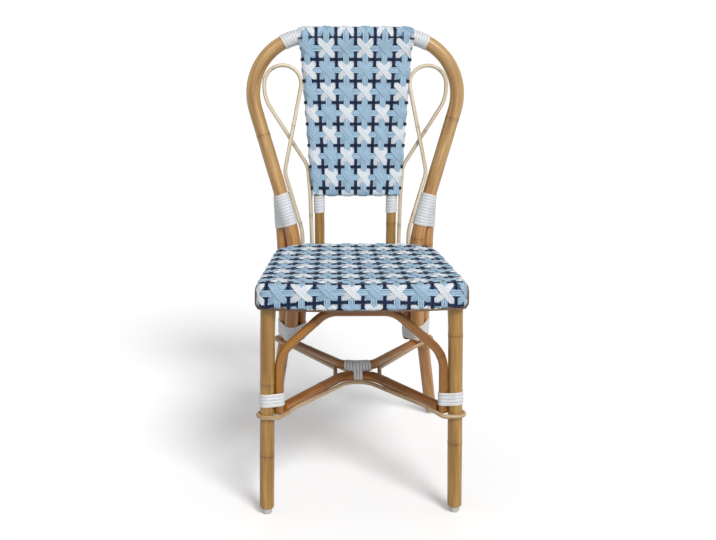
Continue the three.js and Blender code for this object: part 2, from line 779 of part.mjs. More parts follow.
// A place beside a bow's arm and below it, by distance from the arm's outer end; inward is -1 in the
// bay that the bow bends round, and 1 in the side bays
function besideBow({ end, corner }, inward, run) {
  const arm = corner.clone().sub(end).normalize();
  const beside = arm.clone().cross(zAxis).normalize().multiplyScalar(Math.sign(corner.y - end.y) * inward);
  return end.clone().addScaledVector(arm, run).addScaledVector(beside, caneOut).setZ(
    end.z + arm.z * run - caneDown,
  );
}
const runToX = ({ end, corner }, inward, x) => {
  const start = besideBow({ end, corner }, inward, 0);
  return (x - start.x) / corner.clone().sub(end).normalize().x;
};

// The corner from which a path reaches round a ring: on the ring's outer side, in line with a tangent
function ringCorner(centre, radius, from) {
  const toCentre = new THREE.Vector2(centre.x - from.x, centre.y - from.y);
  const spread = Math.asin(radius / toCentre.length());
  const angle = toCentre.angle() - Math.sign(centre.y - from.y) * spread;
  const x = centre.x + radius;
  return at(x, from.y + (x - from.x) * Math.tan(angle), centre.z);
}
// Neighbouring canes meet end to end, so each stops a little short
const caneEndGap = clearance / 2 + caneRadius * Math.sin(bendStep / 2);
const endGapped = (stations) => subPath(stations, caneEndGap, lengthOf(stations) - caneEndGap);

const sideJoinFront = besideBow(frontBow, 1, bayJoinRun);
const sideTipFront = besideBow(frontBow, 1, runToX(frontBow, 1, bayTipX));
const sideTipRear = besideBow(rearBow, 1, runToX(rearBow, 1, bayTipX));
const sideJoinRear = besideBow(rearBow, 1, rearBayJoinRun);
const sideCanePath = endGapped(bentPath(
  [
    ringSide(frontRingCentre, frontRingRadius),
    ringCorner(frontRingCentre, frontRingRadius, sideJoinFront),
    sideJoinFront,
    sideTipFront,
    sideTipRear,
    sideJoinRear,
    ringCorner(rearRingCentre, rearRingRadius, sideJoinRear),
    ringSide(rearRingCentre, rearRingRadius),
  ],
  [frontRingRadius, frontRingRadius, bayTipRadius, bayTipRadius, rearRingRadius, rearRingRadius],
));

// The corner of a cane inside a bow's bend: its lines run beside and below the bow's arms
function insetCorner({ end, corner }, reach) {
  const arm = end.clone().sub(corner);
  const flatRun = Math.hypot(arm.x, arm.y);
  const inset = (reach * Math.cos(caneDrop) * flatRun) / Math.abs(arm.x);
  const footShare = (inset * Math.abs(arm.y)) / flatRun ** 2;
  const z = corner.z + arm.z * footShare - reach * Math.sin(caneDrop);
  return at(0, corner.y + Math.sign(arm.y) * inset, z);
}

// A cane round the front or rear bay, which keeps some more room for the binding in the middle
function endBayCanePath({ bow, centre, radius, joinRun, boundRoom }) {
  const apexReach = caneReach + boundRoom;
  const outward = Math.sign(bow.end.y - bow.corner.y);
  const ringBackY = centre.y + outward * radius;
  const join = besideBow(bow, -1, joinRun);
  const start = ringSide(centre, radius);
  const ringEnd = at(centre.x + radius, ringBackY, centre.z);
  const armStart = besideBow(bow, -1, 0);
  const clearX = join.x + ((ringBackY - join.y) / (armStart.y - join.y)) * (armStart.x - join.x);
  const turnBack = at(Math.min(clearX, centre.x - radius), ringBackY, centre.z);
  const corners = [start, ringEnd, turnBack, join];
  const middle = insetCorner(bow, apexReach);
  const bend = bowBendRadius - apexReach * Math.cos(caneDrop);
  return endGapped(bentPath(
    [...corners.map((corner) => mirrored(corner, -1)), middle, ...[...corners].reverse()],
    [radius, bayTipRadius, 0, bend, 0, bayTipRadius, radius],
  ));
}

sides.forEach(([side, label]) => {
  addNode(`stretcher_cane_${label}`, poleSolid(sided(sideCanePath, side), caneRadius, caneSides), 'cane');
});
const frontCanePath = endBayCanePath({
  bow: frontBow,
  centre: frontRingCentre,
  radius: frontRingRadius,
  joinRun: bayJoinRun,
  boundRoom: frontBoundCaneRoom,
});
const rearCanePath = endBayCanePath({
  bow: rearBow,
  centre: rearRingCentre,
  radius: rearRingRadius,
  joinRun: bayJoinRun,
  boundRoom: rearBoundCaneRoom,
});
addNode('stretcher_cane_front', poleSolid(frontCanePath, caneRadius, caneSides), 'cane');
addNode('stretcher_cane_rear', poleSolid(rearCanePath, caneRadius, caneSides), 'cane');

// Seat: it is built level in its own group, which tilts it back. Its origin is on the top face, at the front
// corners.
const seat = new THREE.Group();
seat.position.set(0, seatFrontY, seatHeight);
seat.rotation.x = -seatTilt;
chair.add(seat);

const bowShares = [0.25, 0.5, 0.75];
const frontEdgeY = (x, inset) => inset - seatBow * (1 - (x / (seatFrontHalfWidth - inset)) ** 2);
const sideSlope = (seatFrontHalfWidth - seatRearHalfWidth) / seatDepth;
const slantReach = Math.hypot(1, sideSlope);
const frontCornerX = (inset) => seatFrontHalfWidth - inset * (slantReach + sideSlope);
const rearCornerX = (inset) => seatRearHalfWidth - inset * (slantReach - sideSlope);
const frontCorner = (inset, z = 0) => at(frontCornerX(inset), inset, z);
const rearCorner = (inset, z = 0) => at(rearCornerX(inset), seatDepth - inset, z);
function seatOutline(inset) {
  const frontX = frontCorner(inset).x;
  const front = bowShares.map((share) => at(share * frontX, frontEdgeY(share * frontX, inset), 0));
  const right = [...front, frontCorner(inset), rearCorner(inset)];
  const left = right.map((point) => mirrored(point, -1)).reverse();
  const tip = at(0, frontEdgeY(0, inset), 0);
  const bends = [0, 0, 0, seatFrontCornerRadius - inset / 2, seatRearCornerRadius - inset];
  const loop = bentPath([tip, ...right, ...left, tip], bothBends(bends));
  return loop.slice(0, -1).map((point) => new THREE.Vector2(point.x, point.y));
}

// A block on the seat's outline with a rounded top edge
function seatBlock(inset, top, bottom, edge) {
  const settings = {
    depth: top - bottom - edge,
    bevelThickness: edge,
    bevelSize: edge,
    bevelOffset: -edge,
    bevelSegments: seatEdgeSteps,
  };
  const block = new THREE.ExtrudeGeometry(new THREE.Shape(seatOutline(inset)), settings);
  return block.translate(0, 0, bottom);
}

const railDrop = weaveThickness + clearance + upperRailRadius;
const lowerRailDrop = apronHeight - lowerRailRadius - trimRadius;
const lowerRailInset = weaveThickness + clearance + lowerRailRadius;
const apronBlock = seatBlock(0, 0, -apronHeight - overrun, seatEdgeRadius);
const apronRoom = seatBlock(weaveThickness, -weaveThickness, -apronHeight - 3 * overrun, seatEdgeRadius / 2);
const belowApron = new THREE.BoxGeometry(3 * seatFrontHalfWidth, 3 * seatDepth, 4 * overrun);
belowApron.translate(0, seatDepth / 2, -apronHeight - 2 * overrun);
addNode('seat_weave', cut(apronBlock, [apronRoom, belowApron]), 'weave', seat);

// Seat rails: a bowed front pair between the front legs, and a bent pair round the sides and the rear
const legInSeat = at(frontLegTopX, (frontLegTopY - seatFrontY) / Math.cos(seatTilt), 0);
const railEndX = frontLegTopX - frontLegRadius - frontRailEndGap;
function addRails(label, inset, drop, radius) {
  const frontPath = [-1, ...bowShares.map((share) => -share).reverse(), 0, ...bowShares, 1]
    .map((share) => at(share * railEndX, frontEdgeY(share * railEndX, inset), -drop));
  addNode(`seat_front_rail_${label}`, poleSolid(frontPath, radius, slimSides), 'rattan', seat);
  const startY = legInSeat.y + frontLegRadius + trimRadius + clearance;
  const startShare = (startY - inset) / (seatDepth - 2 * inset);
  const corner = rearCorner(inset, -drop);
  const start = along(frontCorner(inset, -drop), corner, startShare);
  const path = bentPath(bothSides([start, corner]), bothBends([seatRearCornerRadius - inset]));
  addNode(`seat_rear_rail_${label}`, poleSolid(path, radius, slimSides), 'rattan', seat);
}
addRails('upper', railDrop, railDrop, upperRailRadius);
addRails('lower', lowerRailInset, lowerRailDrop, lowerRailRadius);

// Trim cane along the bottom of the front apron and up its two ends
const trimReach = trimRadius + clearance;
const trimX = seatFrontHalfWidth + trimReach;
const trimSideY = seatFrontCornerRadius / 2;
const trimZ = -apronHeight - trimReach;
const trimShares = [0.92, 0.75, 0.5, 0.25];
const trimPlace = (x) => at(x, frontEdgeY(x, trimRadius), trimZ);
const trimCorners = [
  at(trimX, trimSideY, -seatEdgeRadius),
  at(trimX, trimSideY, trimZ),
  ...trimShares.map((share) => trimPlace(share * seatFrontHalfWidth)),
];
const trimPath = bentPath(
  [...trimCorners.map((corner) => mirrored(corner, -1)), trimPlace(0), ...[...trimCorners].reverse()],
  [trimBendRadius, ...trimShares.map(() => 0), 0, ...trimShares.map(() => 0), trimBendRadius],
);
addNode('seat_trim_cane', poleSolid(trimPath, trimRadius, caneSides), 'cane', seat);

// Bearers: two poles from the front of the seat frame to its rear, which rest on the two arches
seat.updateMatrixWorld();
const inSeat = (x, y, z) => at(x, y, z).applyMatrix4(seat.matrixWorld);
const bearerRise = archRadius + clearance + bearerRadius;
const bearerOverFront = at(bearerX, frontArchTopY, frontArchTopZ + bearerRise);
const bearerOverRear = at(bearerX, rearArchTopY, rearArchTopZ + bearerRise);
const bearerEndRoom = lowerRailRadius + 4 * clearance;
const bearerFrontY = inSeat(bearerX, frontEdgeY(bearerX, lowerRailInset), -lowerRailDrop).y + bearerEndRoom;
const bearerRearY = inSeat(bearerX, seatDepth - lowerRailInset, -lowerRailDrop).y - bearerEndRoom;
const bearerAt = (y) => {
  const share = (y - frontArchTopY) / (rearArchTopY - frontArchTopY);
  return along(bearerOverFront, bearerOverRear, share);
};
sides.forEach(([side, label]) => {
  const path = [mirrored(bearerAt(bearerFrontY), side), mirrored(bearerAt(bearerRearY), side)];
  addNode(`seat_bearer_${label}`, poleSolid(path, bearerRadius, slimSides), 'rattan');
});

// Back uprights and the rail between them
const rearRightCornerX = seatRearHalfWidth - seatRearCornerRadius;
const rearRightCornerY = seatDepth - seatRearCornerRadius;
function skirtRearY(x, radius) {
  const beyond = Math.max(0, x - rearRightCornerX);
  const reach = seatRearCornerRadius + radius + 2 * clearance;
  return inSeat(x, rearRightCornerY + Math.sqrt(reach ** 2 - beyond ** 2), 0).y;
}
const uprightFootY = skirtRearY(uprightFootX, uprightRadius);
const uprightFoot = at(uprightFootX, uprightFootY, seatHeight - uprightFootDrop);
const uprightKneeZ = seatHeight + uprightKneeRise;
const uprightKnee = at(uprightKneeX, backPlaneY(uprightKneeZ), uprightKneeZ);
const uprightHead = placeOn(hoopHalf, onHoopTop(uprightTopX)).point;
const hoopOverUpright = placeOn(hoopHalf, onHoopTop(uprightTopX + uprightRadius)).point;
const uprightTopZ = hoopOverUpright.z - hoopRadius - 2 * clearance - uprightRadius / 4;
const uprightTopShare = (uprightTopZ - uprightKneeZ) / (uprightHead.z - uprightKneeZ);
const uprightPath = bentPath(
  [uprightFoot, uprightKnee, along(uprightKnee, uprightHead, uprightTopShare)],
  [uprightBendRadius],
);
sides.forEach(([side, label]) => {
  addNode(`back_upright_${label}`, poleSolid(sided(uprightPath, side), uprightRadius), 'rattan');
});

const panelBottomZ = seatHeight + panelBottomRise;
const backRailZ = panelBottomZ + weaveThickness + backRailRadius;
const uprightAtRail = crossing(uprightPath, at(0, 0, backRailZ), zAxis);
const railCentre = (x) => at(x, backPlaneY(backRailZ), backRailZ);
const backRailEndX = uprightAtRail.x - uprightRadius - 2 * clearance;
const backRailPath = [railCentre(-backRailEndX), railCentre(backRailEndX)];
addNode('back_rail', poleSolid(backRailPath, backRailRadius), 'rattan');

// Back panel: a woven sleeve round the hoop's top, the uprights and the rail, hollow between its two faces
const panelHalfWidth = uprightTopX + uprightRadius + weaveThickness;
const upAlongBack = at(0, backLeanShare, 1).normalize();
const backNormal = xAxis.clone().cross(upAlongBack);
function backSlab(thickness) {
  const bottom = railCentre(uprightAtRail.x);
  const rise = (uprightHead.z - backRailZ) / upAlongBack.z;
  const outline = new THREE.Shape([
    new THREE.Vector2(-bottom.x, 0),
    new THREE.Vector2(bottom.x, 0),
    new THREE.Vector2(uprightTopX, rise),
    new THREE.Vector2(-uprightTopX, rise),
  ]);
  const slab = new THREE.ExtrudeGeometry(outline, { depth: thickness, bevelEnabled: false });
  slab.translate(0, 0, -thickness / 2);
  const place = new THREE.Matrix4().makeBasis(xAxis, upAlongBack, backNormal);
  return slab.applyMatrix4(place.setPosition(railCentre(0)));
}
const hoopAtPanel = onHoopTop(panelHalfWidth);
const overTop = (extra) => {
  const half = subPath(hoopHalf, hoopAtPanel - extra, hoopMiddle);
  return [...half.slice(0, -1).map((point) => mirrored(point, -1)), ...[...half].reverse()];
};
const uprightRun = (extra) => [
  crossing(uprightPath, at(0, 0, panelBottomZ - extra), zAxis),
  uprightAtRail.clone(),
  uprightHead.clone(),
];
const sleeve = (radius) => radius + weaveThickness;
const panelOutside = joined([
  poleSolid(overTop(0), sleeve(hoopRadius)),
  ...sides.map(([side]) => poleSolid(sided(uprightRun(0), side), sleeve(uprightRadius))),
  poleSolid([railCentre(-uprightAtRail.x), railCentre(uprightAtRail.x)], sleeve(backRailRadius)),
  backSlab(2 * sleeve(uprightRadius)),
]);
const panelRoom = joined([
  poleSolid(overTop(overrun), roomFor(hoopRadius)),
  ...sides.map(([side]) => poleSolid(sided(uprightRun(overrun), side), roomFor(uprightRadius))),
  poleSolid([railCentre(-uprightAtRail.x), railCentre(uprightAtRail.x)], roomFor(backRailRadius)),
  backSlab(2 * uprightRadius),
]);
addNode('back_panel_weave', toGeometry(panelOutside.subtract(panelRoom)), 'weave');

// Ribbon canes: each climbs beside the hoop, loops over and comes down beside the panel
const uprightXAt = (z) => placeOn(uprightPath, distanceAt(uprightPath, 'z', z)).point.x;
const ribbonFootZ = seatHeight - ribbonFootDrop;
const ribbonHipZ = seatHeight + ribbonHipRise;
const ribbonHoopZ = waistZ + ribbonHoopHeightShare * hoopRise;
const ribbonHoopX = hoopXAt(ribbonHoopZ) - ribbonHoopGap;
const ribbonPanelZ = waistZ + ribbonPanelHeightShare * hoopRise;
const ribbonLowerZ = seatHeight + ribbonLowerRise;
const loopCentreZ = hoopTopZ - ribbonLoopMiddleDrop;
const loopLeft = uprightXAt(loopCentreZ) + ribbonLoopPanelGap;
const loopRight = hoopXAt(loopCentreZ) - ribbonLoopHoopGap;
const loopRadius = (loopRight - loopLeft) / 2;
const loopCentreX = (loopLeft + loopRight) / 2;
const loopTopZ = loopCentreZ + loopRadius;
const climbRise = loopCentreZ - ribbonHoopZ;
const climbRun = loopCentreX - ribbonHoopX;
const climbLean = Math.atan2(climbRun, climbRise) - Math.asin(loopRadius / Math.hypot(climbRun, climbRise));
const climbTopX = ribbonHoopX + (loopTopZ - ribbonHoopZ) * Math.tan(climbLean);
const onBack = (x, z, offset = 0) => at(x, backPlaneY(z) + offset, z);
const behindSeat = (x, z) => at(x, skirtRearY(x, caneRadius), z);
const ribbonPath = bentPath(
  [
    behindSeat(hoopXAt(ribbonFootZ) - ribbonStartGap, ribbonFootZ),
    onBack(hoopXAt(ribbonHipZ) - ribbonHipGap, ribbonHipZ, -ribbonHipOffset),
    onBack(ribbonHoopX, ribbonHoopZ, -ribbonFrontOffset),
    onBack(climbTopX, loopTopZ),
    onBack(loopRight, loopTopZ),
    onBack(loopRight, hoopTopZ - ribbonLoopLowDrop),
    onBack(uprightXAt(ribbonPanelZ) + ribbonPanelGap, ribbonPanelZ, ribbonRearOffset),
    onBack(uprightXAt(ribbonLowerZ) + ribbonLowerGap, ribbonLowerZ),
    behindSeat(uprightXAt(ribbonFootZ) + ribbonEndGap, ribbonFootZ),
  ],
  [
    ribbonLongBendRadius,
    ribbonBendRadius,
    loopRadius,
    loopRadius,
    ribbonLoopLowBendRadius,
    ribbonBendRadius,
    ribbonLongBendRadius,
  ],
);
sides.forEach(([side, label]) => {
  addNode(`ribbon_cane_${label}`, poleSolid(sided(ribbonPath, side), caneRadius, caneSides), 'cane');
});

// Bindings
function bind(name, poles, run) {
  const guide = poles[0].path;
  const poleRadii = poles.map((pole) => pole.radius);
  const centresAt = (point, direction) => poles.map((pole) => crossing(pole.path, point, direction));
  addNode(name, windingSolid({ name, guide, poleRadii, centresAt, ...run }), 'binding');
}
const archHalf = (path) => path.slice(path.length / 2).reverse();
const hoopTopWrapEnd = hoopAtPanel - hoopTopStrip / 2 - 2 * clearance;
const hoopTopRun = {
  from: hoopTopWrapEnd - hoopTopWrapLength,
  to: hoopTopWrapEnd,
  turns: hoopTopTurns,
  stripWidth: hoopTopStrip,
};
const backLegRun = {
  from: distanceAt(hoopHalf, 'z', seatHeight + backLegWrapBottomRise),
  to: distanceAt(hoopHalf, 'z', seatHeight + backLegWrapTopRise),
  turns: backLegTurns,
  stripWidth,
};
const uprightWrapEnd = distanceAt(uprightPath, 'z', panelBottomZ) - stripWidth / 2 - 2 * clearance;
const uprightBoundRun = {
  from: uprightWrapEnd - uprightWrapLength,
  to: uprightWrapEnd,
  turns: uprightTurns,
  stripWidth,
};
const frontLegRun = {
  from: distanceAt(frontLegPath, 'z', frontLegWrapTop),
  to: distanceAt(frontLegPath, 'z', frontLegWrapBottom),
  turns: frontLegTurns,
  stripWidth: frontLegStrip,
};
const rearLegRun = {
  from: distanceAt(hoopHalf, 'z', rearLegWrapBottom),
  to: distanceAt(hoopHalf, 'z', rearLegWrapTop),
  turns: rearLegTurns,
  stripWidth,
};

sides.forEach(([side, label]) => {
  const hoop = { path: sided(hoopHalf, side), radius: hoopRadius };
  const upright = { path: sided(uprightPath, side), radius: uprightRadius };
  const rearLeg = { path: sided(rearLegPath, side), radius: rearLegRadius + 2 * clearance };
  const frontLeg = { path: sided(frontLegPath, side), radius: frontLegRadius };
  const frontArch = { path: sided(archHalf(frontArchPath), side), radius: archRadius };
  const rearArch = { path: sided(archHalf(rearArchPath), side), radius: archRadius };
  bind(`binding_hoop_top_${label}`, [hoop], hoopTopRun);
  bind(`binding_back_leg_${label}`, [hoop, rearLeg], backLegRun);
  bind(`binding_upright_${label}`, [upright], uprightBoundRun);
  bind(`binding_front_leg_${label}`, [frontLeg, frontArch], frontLegRun);
  bind(`binding_rear_leg_${label}`, [hoop, rearLeg, rearArch], rearLegRun);
});

// The stretcher's binding runs along the rear bow; its middle turns go round the front bow too
const bowMiddle = lengthOf(rearBowPath) / 2;
const firstSharedTurn = (bowTurns - bowSharedTurns) / 2;
const inShared = (turn) => turn >= firstSharedTurn && turn < firstSharedTurn + bowSharedTurns;
addNode('binding_stretcher', windingSolid({
  name: 'binding_stretcher',
  guide: rearBowPath,
  from: bowMiddle - bowWrapLength / 2,
  to: bowMiddle + bowWrapLength / 2,
  turns: bowTurns,
  stripWidth,
  poleRadii: [bowRadius + bowBindingEase, bowRadius + bowBindingEase],
  steadyAxis: xAxis,
  centresAt: (point, direction, turn) => {
    if (inShared(turn)) return [point, crossing(frontBowPath, point, direction)];
    return [point, along(point, frontBowApex, aloneShare)];
  },
}), 'binding');

// The middle of the chair's footprint goes to the origin
chair.updateMatrixWorld();
const footprint = new THREE.Box3().setFromObject(chair, true).getCenter(at(0, 0, 0));
chair.position.set(-footprint.x, -footprint.y, 0);

export default chair;
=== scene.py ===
"""Rattan bistro chair: bent poles, thin canes, wound bindings, and a seat and a back woven of strands.

Run as a script inside Blender. Lengths in the tables and formulas are millimetres, in the part's own
frame but with y counted from the front legs; `placed` turns them into the row's metres.
"""

import math

import bpy
import numpy as np
from bpy.props import FloatProperty, FloatVectorProperty, IntProperty, PointerProperty
from mathutils import Matrix, Vector


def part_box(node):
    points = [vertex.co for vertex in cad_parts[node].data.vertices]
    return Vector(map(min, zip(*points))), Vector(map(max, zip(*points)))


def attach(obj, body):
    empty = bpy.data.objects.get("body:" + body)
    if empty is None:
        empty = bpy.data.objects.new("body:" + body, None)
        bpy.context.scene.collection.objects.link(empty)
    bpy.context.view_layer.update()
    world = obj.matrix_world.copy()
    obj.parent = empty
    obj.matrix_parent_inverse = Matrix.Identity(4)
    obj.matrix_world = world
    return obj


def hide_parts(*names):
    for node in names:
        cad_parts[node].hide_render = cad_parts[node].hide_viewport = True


bl_info = {
    "name": "Rattan bistro chair",
    "version": (1, 0, 0),
    "blender": (4, 5, 0),
    "location": "3D View > Sidebar > Chair",
    "description": "Builds a rattan bistro chair with a woven seat and back around its packed solids",
    "category": "Object",
}

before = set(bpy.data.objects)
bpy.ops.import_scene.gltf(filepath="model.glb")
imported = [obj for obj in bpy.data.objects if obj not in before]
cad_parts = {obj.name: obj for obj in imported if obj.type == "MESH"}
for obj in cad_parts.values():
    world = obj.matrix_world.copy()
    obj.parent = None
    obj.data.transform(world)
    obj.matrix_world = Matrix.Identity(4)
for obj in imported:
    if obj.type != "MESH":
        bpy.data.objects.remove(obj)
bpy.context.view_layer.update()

# The row's y of the front legs, which is where the tables count from
GLIDE_LOW, GLIDE_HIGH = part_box("foot_glide_front_left")
ORIGIN_Y = (GLIDE_LOW.y + GLIDE_HIGH.y) / 2
MM = 0.001
SIDES = ((-1, "left"), (1, "right"))
X, Y, Z = np.eye(3)


def both_halves(corners, radii, middle=(), middle_radius=()):
    """A route from left to right: its left half, what stands in the middle, and the mirrored half."""
    right = [(-x, y, z) for x, y, z in corners[::-1]]
    return [*corners, *middle, *right], [*radii, *middle_radius, *radii[::-1]]


# Centre lines, in millimetres: corners, and the bend radius at each inner corner
HOOP = both_halves([(-142, 457, 211), (-130, 400, 452), (-259, 464.5, 882)], [170, 122])
REAR_LEG = ([(163.11, 446.07, 553.08), (159.92, 433.91, 496.9), (155.56, 416.65, 449.62),
             (154.9, 485.41, 212.01), (183.06, 556.4, 12.4)], [80, 150, 260])
FRONT_LEG = ([(174.1, 7, 456.5), (177.2, 5.6, 366), (182.3, 0, 12.4)], [400])
FRONT_ARCH = ([(-156.8, 3.08, 203), (-155.2, 4.88, 321), (-66, 4.88, 403), (61, 4.88, 403),
               (155.2, 4.88, 319), (156.8, 3.08, 203)], [66, 50, 50, 66])
REAR_ARCH = both_halves([(-120.4, 470.9, 211), (-114.47, 442.75, 330), (-60, 375, 397)], [45, 45])
FRONT_BOW = both_halves([(-149.6, 11.8, 211.5)], [], [(0, 278.07, 201.5)], [50])
REAR_BOW = both_halves([(-141, 476, 198)], [], [(0, 162.5, 231)], [43])
UPRIGHT = ([(76.5, 410.82, 406), (77.3, 413.2, 540), (102.02, 461.48, 861.88)], [260])
BACK_RAIL = both_halves([(-67.77, 416.27, 560.5)], [])
BEARER = ([(36, -15.5, 420.6), (36, 379.4, 414.2)], [])
RIBBON = ([(112.59, 398.01, 408), (114.19, 399.3, 474), (151.26, 412.43, 598.2),
           (107.4, 455.27, 820.48), (193.8, 455.27, 820.48), (193.8, 445, 752),
           (102.03, 430.61, 608.09), (96.81, 414.4, 548), (92.51, 403.5, 408)],
          [110, 45, 38.98, 38.98, 78, 45, 110])
SIDE_CANE = ([(197.0, 2.4, 200), (197.0, 13.84, 200), (140.8, 44.8, 204), (46, 212.4, 197.5),
              (46, 243.8, 213.5), (131.6, 431.9, 199), (176.5, 486.3, 203), (176.5, 493.3, 203)],
             [18.5, 18.5, 12, 12, 19.46, 19.46])
FRONT_CANE = both_halves([(-197.0, 3.5, 200), (-197.0, -14.4, 200), (-156.0, -14.4, 200),
                          (-125.6, 36.6, 203.4)], [17.4, 12, 0], [(0, 252.6, 189.6)], [36.82])
REAR_CANE = both_halves([(-176.5, 492.5, 203), (-176.5, 511.9, 203), (-140.0, 511.9, 203),
                         (-120.29, 452.68, 196.5)], [18.3, 12, 0], [(0, 202, 209.0)], [32.71])

# Radii of the hidden poles and the trim
BACK_RAIL_RADIUS, BEARER_RADIUS, TRIM_RADIUS = 10, 7, 1.9

# Points closer than this, in metres, are merged where a grid starts from one point or meets itself
WELD = 0.00001

# Where the knuckles stand on the hoop and on the left and right front legs, by distance from the start
HOOP_KNUCKLES = [228, 480, 1200, 1466]
LEG_KNUCKLES = [(195, 338), (100, 315)]

# The glides' centres, and their profile from the nail's recess round the rim: radius and height
FEET = {"front": (182.3, 0.0), "rear": (183.5, 557.5)}
GLIDE_EDGE = np.linspace(0, math.pi / 2, 5)
GLIDE_PROFILE = np.concatenate([
    [[3.4, 5.2], [3.4, 0.6], [4.0, 0.0]],
    np.stack([7.0 + 2.2 * np.sin(GLIDE_EDGE), 2.2 - 2.2 * np.cos(GLIDE_EDGE)], -1),
    np.stack([9.9 + 0.7 * np.cos(GLIDE_EDGE), 11.6 + 0.7 * np.sin(GLIDE_EDGE)], -1),
    [[1.8, 12.3], [1.8, 5.2], [3.4, 5.2]]])

# The seat's own flat frame: y from its front corners, z down from its top
SEAT_TILT = 0.036392
SEAT_FRONT_Y, SEAT_Z = -12, 462
SEAT_HALF_WIDTH, SEAT_REAR_HALF_WIDTH = 196, 164
SEAT_BOW, SEAT_EDGE = 22, 7
SEAT_DEPTH = 412
SEAT_SLOPE = math.atan(32 / 412)
FRONT_CORNER, FRONT_CORNER_RADIUS = (178.96, 12.7), 16
REAR_CORNER, REAR_CORNER_RADIUS = (85.36, 327.0), 85

# The weave sinks by 3 mm over its first 390 mm of depth, and its columns draw in by 10.2% over 318 mm
SETTLE, SETTLE_DEPTH = 3.0, 390
DRAW_IN, DRAW_IN_DEPTH = 0.102, 318
# Its front follows the bowed edge, up to 181 mm along it, and this fades out over the first 140 mm
BOW_FADE, BOW_HELD = 140, 181.0
# The apron's height, the roll of its lower edge and its lower corners' radius
APRON, APRON_ROLL, APRON_CORNER = 46.5, 3.0, 9.0
# The apron's rows are down by this share of their places in the middle, and by this much more where the
# edge is 180 mm from it, growing as the square of the distance up to 1.1 times that
APRON_ROWS, APRON_ROWS_DROP, APRON_ROWS_REACH, APRON_ROWS_MOST = 0.87, 0.324, 180, 1.1

# Rails under the seat: how far in, how far down, and their radius
RAILS = {"upper": (12.8, 12.8, 9.0), "lower": (10.8, 35.1, 7.0)}
# Where the front rails end and the rear ones start. A rear rail's ends and bends are further in than the
# seat's edge by its inset times these factors, and its sides draw in by this slope.
FRONT_RAIL_END, REAR_RAIL_START = 158.9, 35.2
START_FACTOR, BEND_FACTOR, RAIL_SLOPE = 1.081, 0.925, 0.0777

# The back's plane through the hoop, and the panel's heights on it
BACK_Y, BACK_Z, BACK_LEAN = 400, 452, 0.15
PANEL_TOP, PANEL_BOTTOM = 882, 547
PANEL_ROW_ZERO, PANEL_ROW_PITCH = 877, 44.86
PANEL_HALF_THICKNESS, PANEL_TOP_RADIUS = 14, 18.5
# The uprights' x at two heights, and how far past them the sleeve's sides stand: on average, more on the
# right and less on the left, and more from the height where it widens over the hoop
UPRIGHT_Z, UPRIGHT_X = (540, 882), (77.3, 103.5)
SIDE_ROOM, SIDE_SKEW, SIDE_WIDENING = 3.5, 1.5, 2.5
WIDENING_Z, WIDENING_HEIGHT = 846, 26
# The sleeve's sides are shut up to this height and open over the next 12 mm
OPEN_Z, OPEN_HEIGHT = 852, 12
# Past x = 95 its top follows the hoop's bend, of radius 122, from this height on and fully 30 mm higher
HOOP_STRAIGHT, HOOP_BEND = 95, 122
SAG_Z, SAG_HEIGHT = 850, 30
# The roll at the sleeve's bottom: its radius in the middle and at the sides, whose width and blend follow
PANEL_ROLL, PANEL_SIDE_ROLL = 13, 3.5
PANEL_SIDE, PANEL_SIDE_BLEND = 16, 5


# ---- numbers and paths


def unit(vectors):
    """Vectors divided by their own lengths."""
    return vectors / np.maximum(np.linalg.norm(vectors, axis=-1, keepdims=True), 1e-12)


def smooth(share):
    """0 below 0, 1 above 1, and 3 s squared minus 2 s cubed between."""
    share = np.clip(share, 0, 1)
    return share * share * (3 - 2 * share)


def circle(angle):
    """Points of a circle of radius 1 at the given angles."""
    return np.stack([np.cos(angle), np.sin(angle)], -1)


def placed(points):
    """Millimetres of the tables to the row's metres: y moves to the row's origin."""
    return np.asarray(points, float) * MM + np.array([0, ORIGIN_Y, 0])


def bent_path(corners, radii, step=0.05):
    """Straight runs between corners, and at each inner corner a round bend that touches both its runs."""
    corners = np.asarray(corners, float)
    points = [corners[:1]]
    for before, corner, after, radius in zip(corners, corners[1:], corners[2:], radii):
        if radius == 0:
            points.append(corner[None])
            continue
        back, ahead = unit(before - corner), unit(after - corner)
        turn = math.pi - math.acos(float(np.clip(back @ ahead, -1, 1)))
        reach = radius * math.tan(turn / 2)
        centre = corner + unit(back + ahead) * radius / math.cos(turn / 2)
        arm = corner + back * reach - centre
        angle = np.linspace(0, turn, max(3, math.ceil(turn / step)))[:, None]
        points.append(centre + arm * np.cos(angle) - back * radius * np.sin(angle))
    points.append(corners[-1:])
    return np.concatenate(points)


def mirrored(path, side):
    """A path on one side of the chair, by the sign of x."""
    return path * np.array([side, 1, 1])


def distances(path):
    """The distance of each point from the path's start, along the path."""
    return np.concatenate([[0], np.cumsum(np.linalg.norm(np.diff(path, axis=0), axis=1))])


def on_path(path, where):
    """Places along a path, by distance from its start."""
    known = distances(path)
    return np.stack([np.interp(where, known, path[:, k]) for k in range(3)], -1)


def headings(path, where, reach):
    """Directions along a path: the chord between the places a little before and a little after."""
    return unit(on_path(path, where + reach) - on_path(path, where - reach))


# ---- meshes


def linked(name, data):
    """A new object of this data, in the scene."""
    made = bpy.data.objects.new(name, data)
    bpy.context.scene.collection.objects.link(made)
    return made


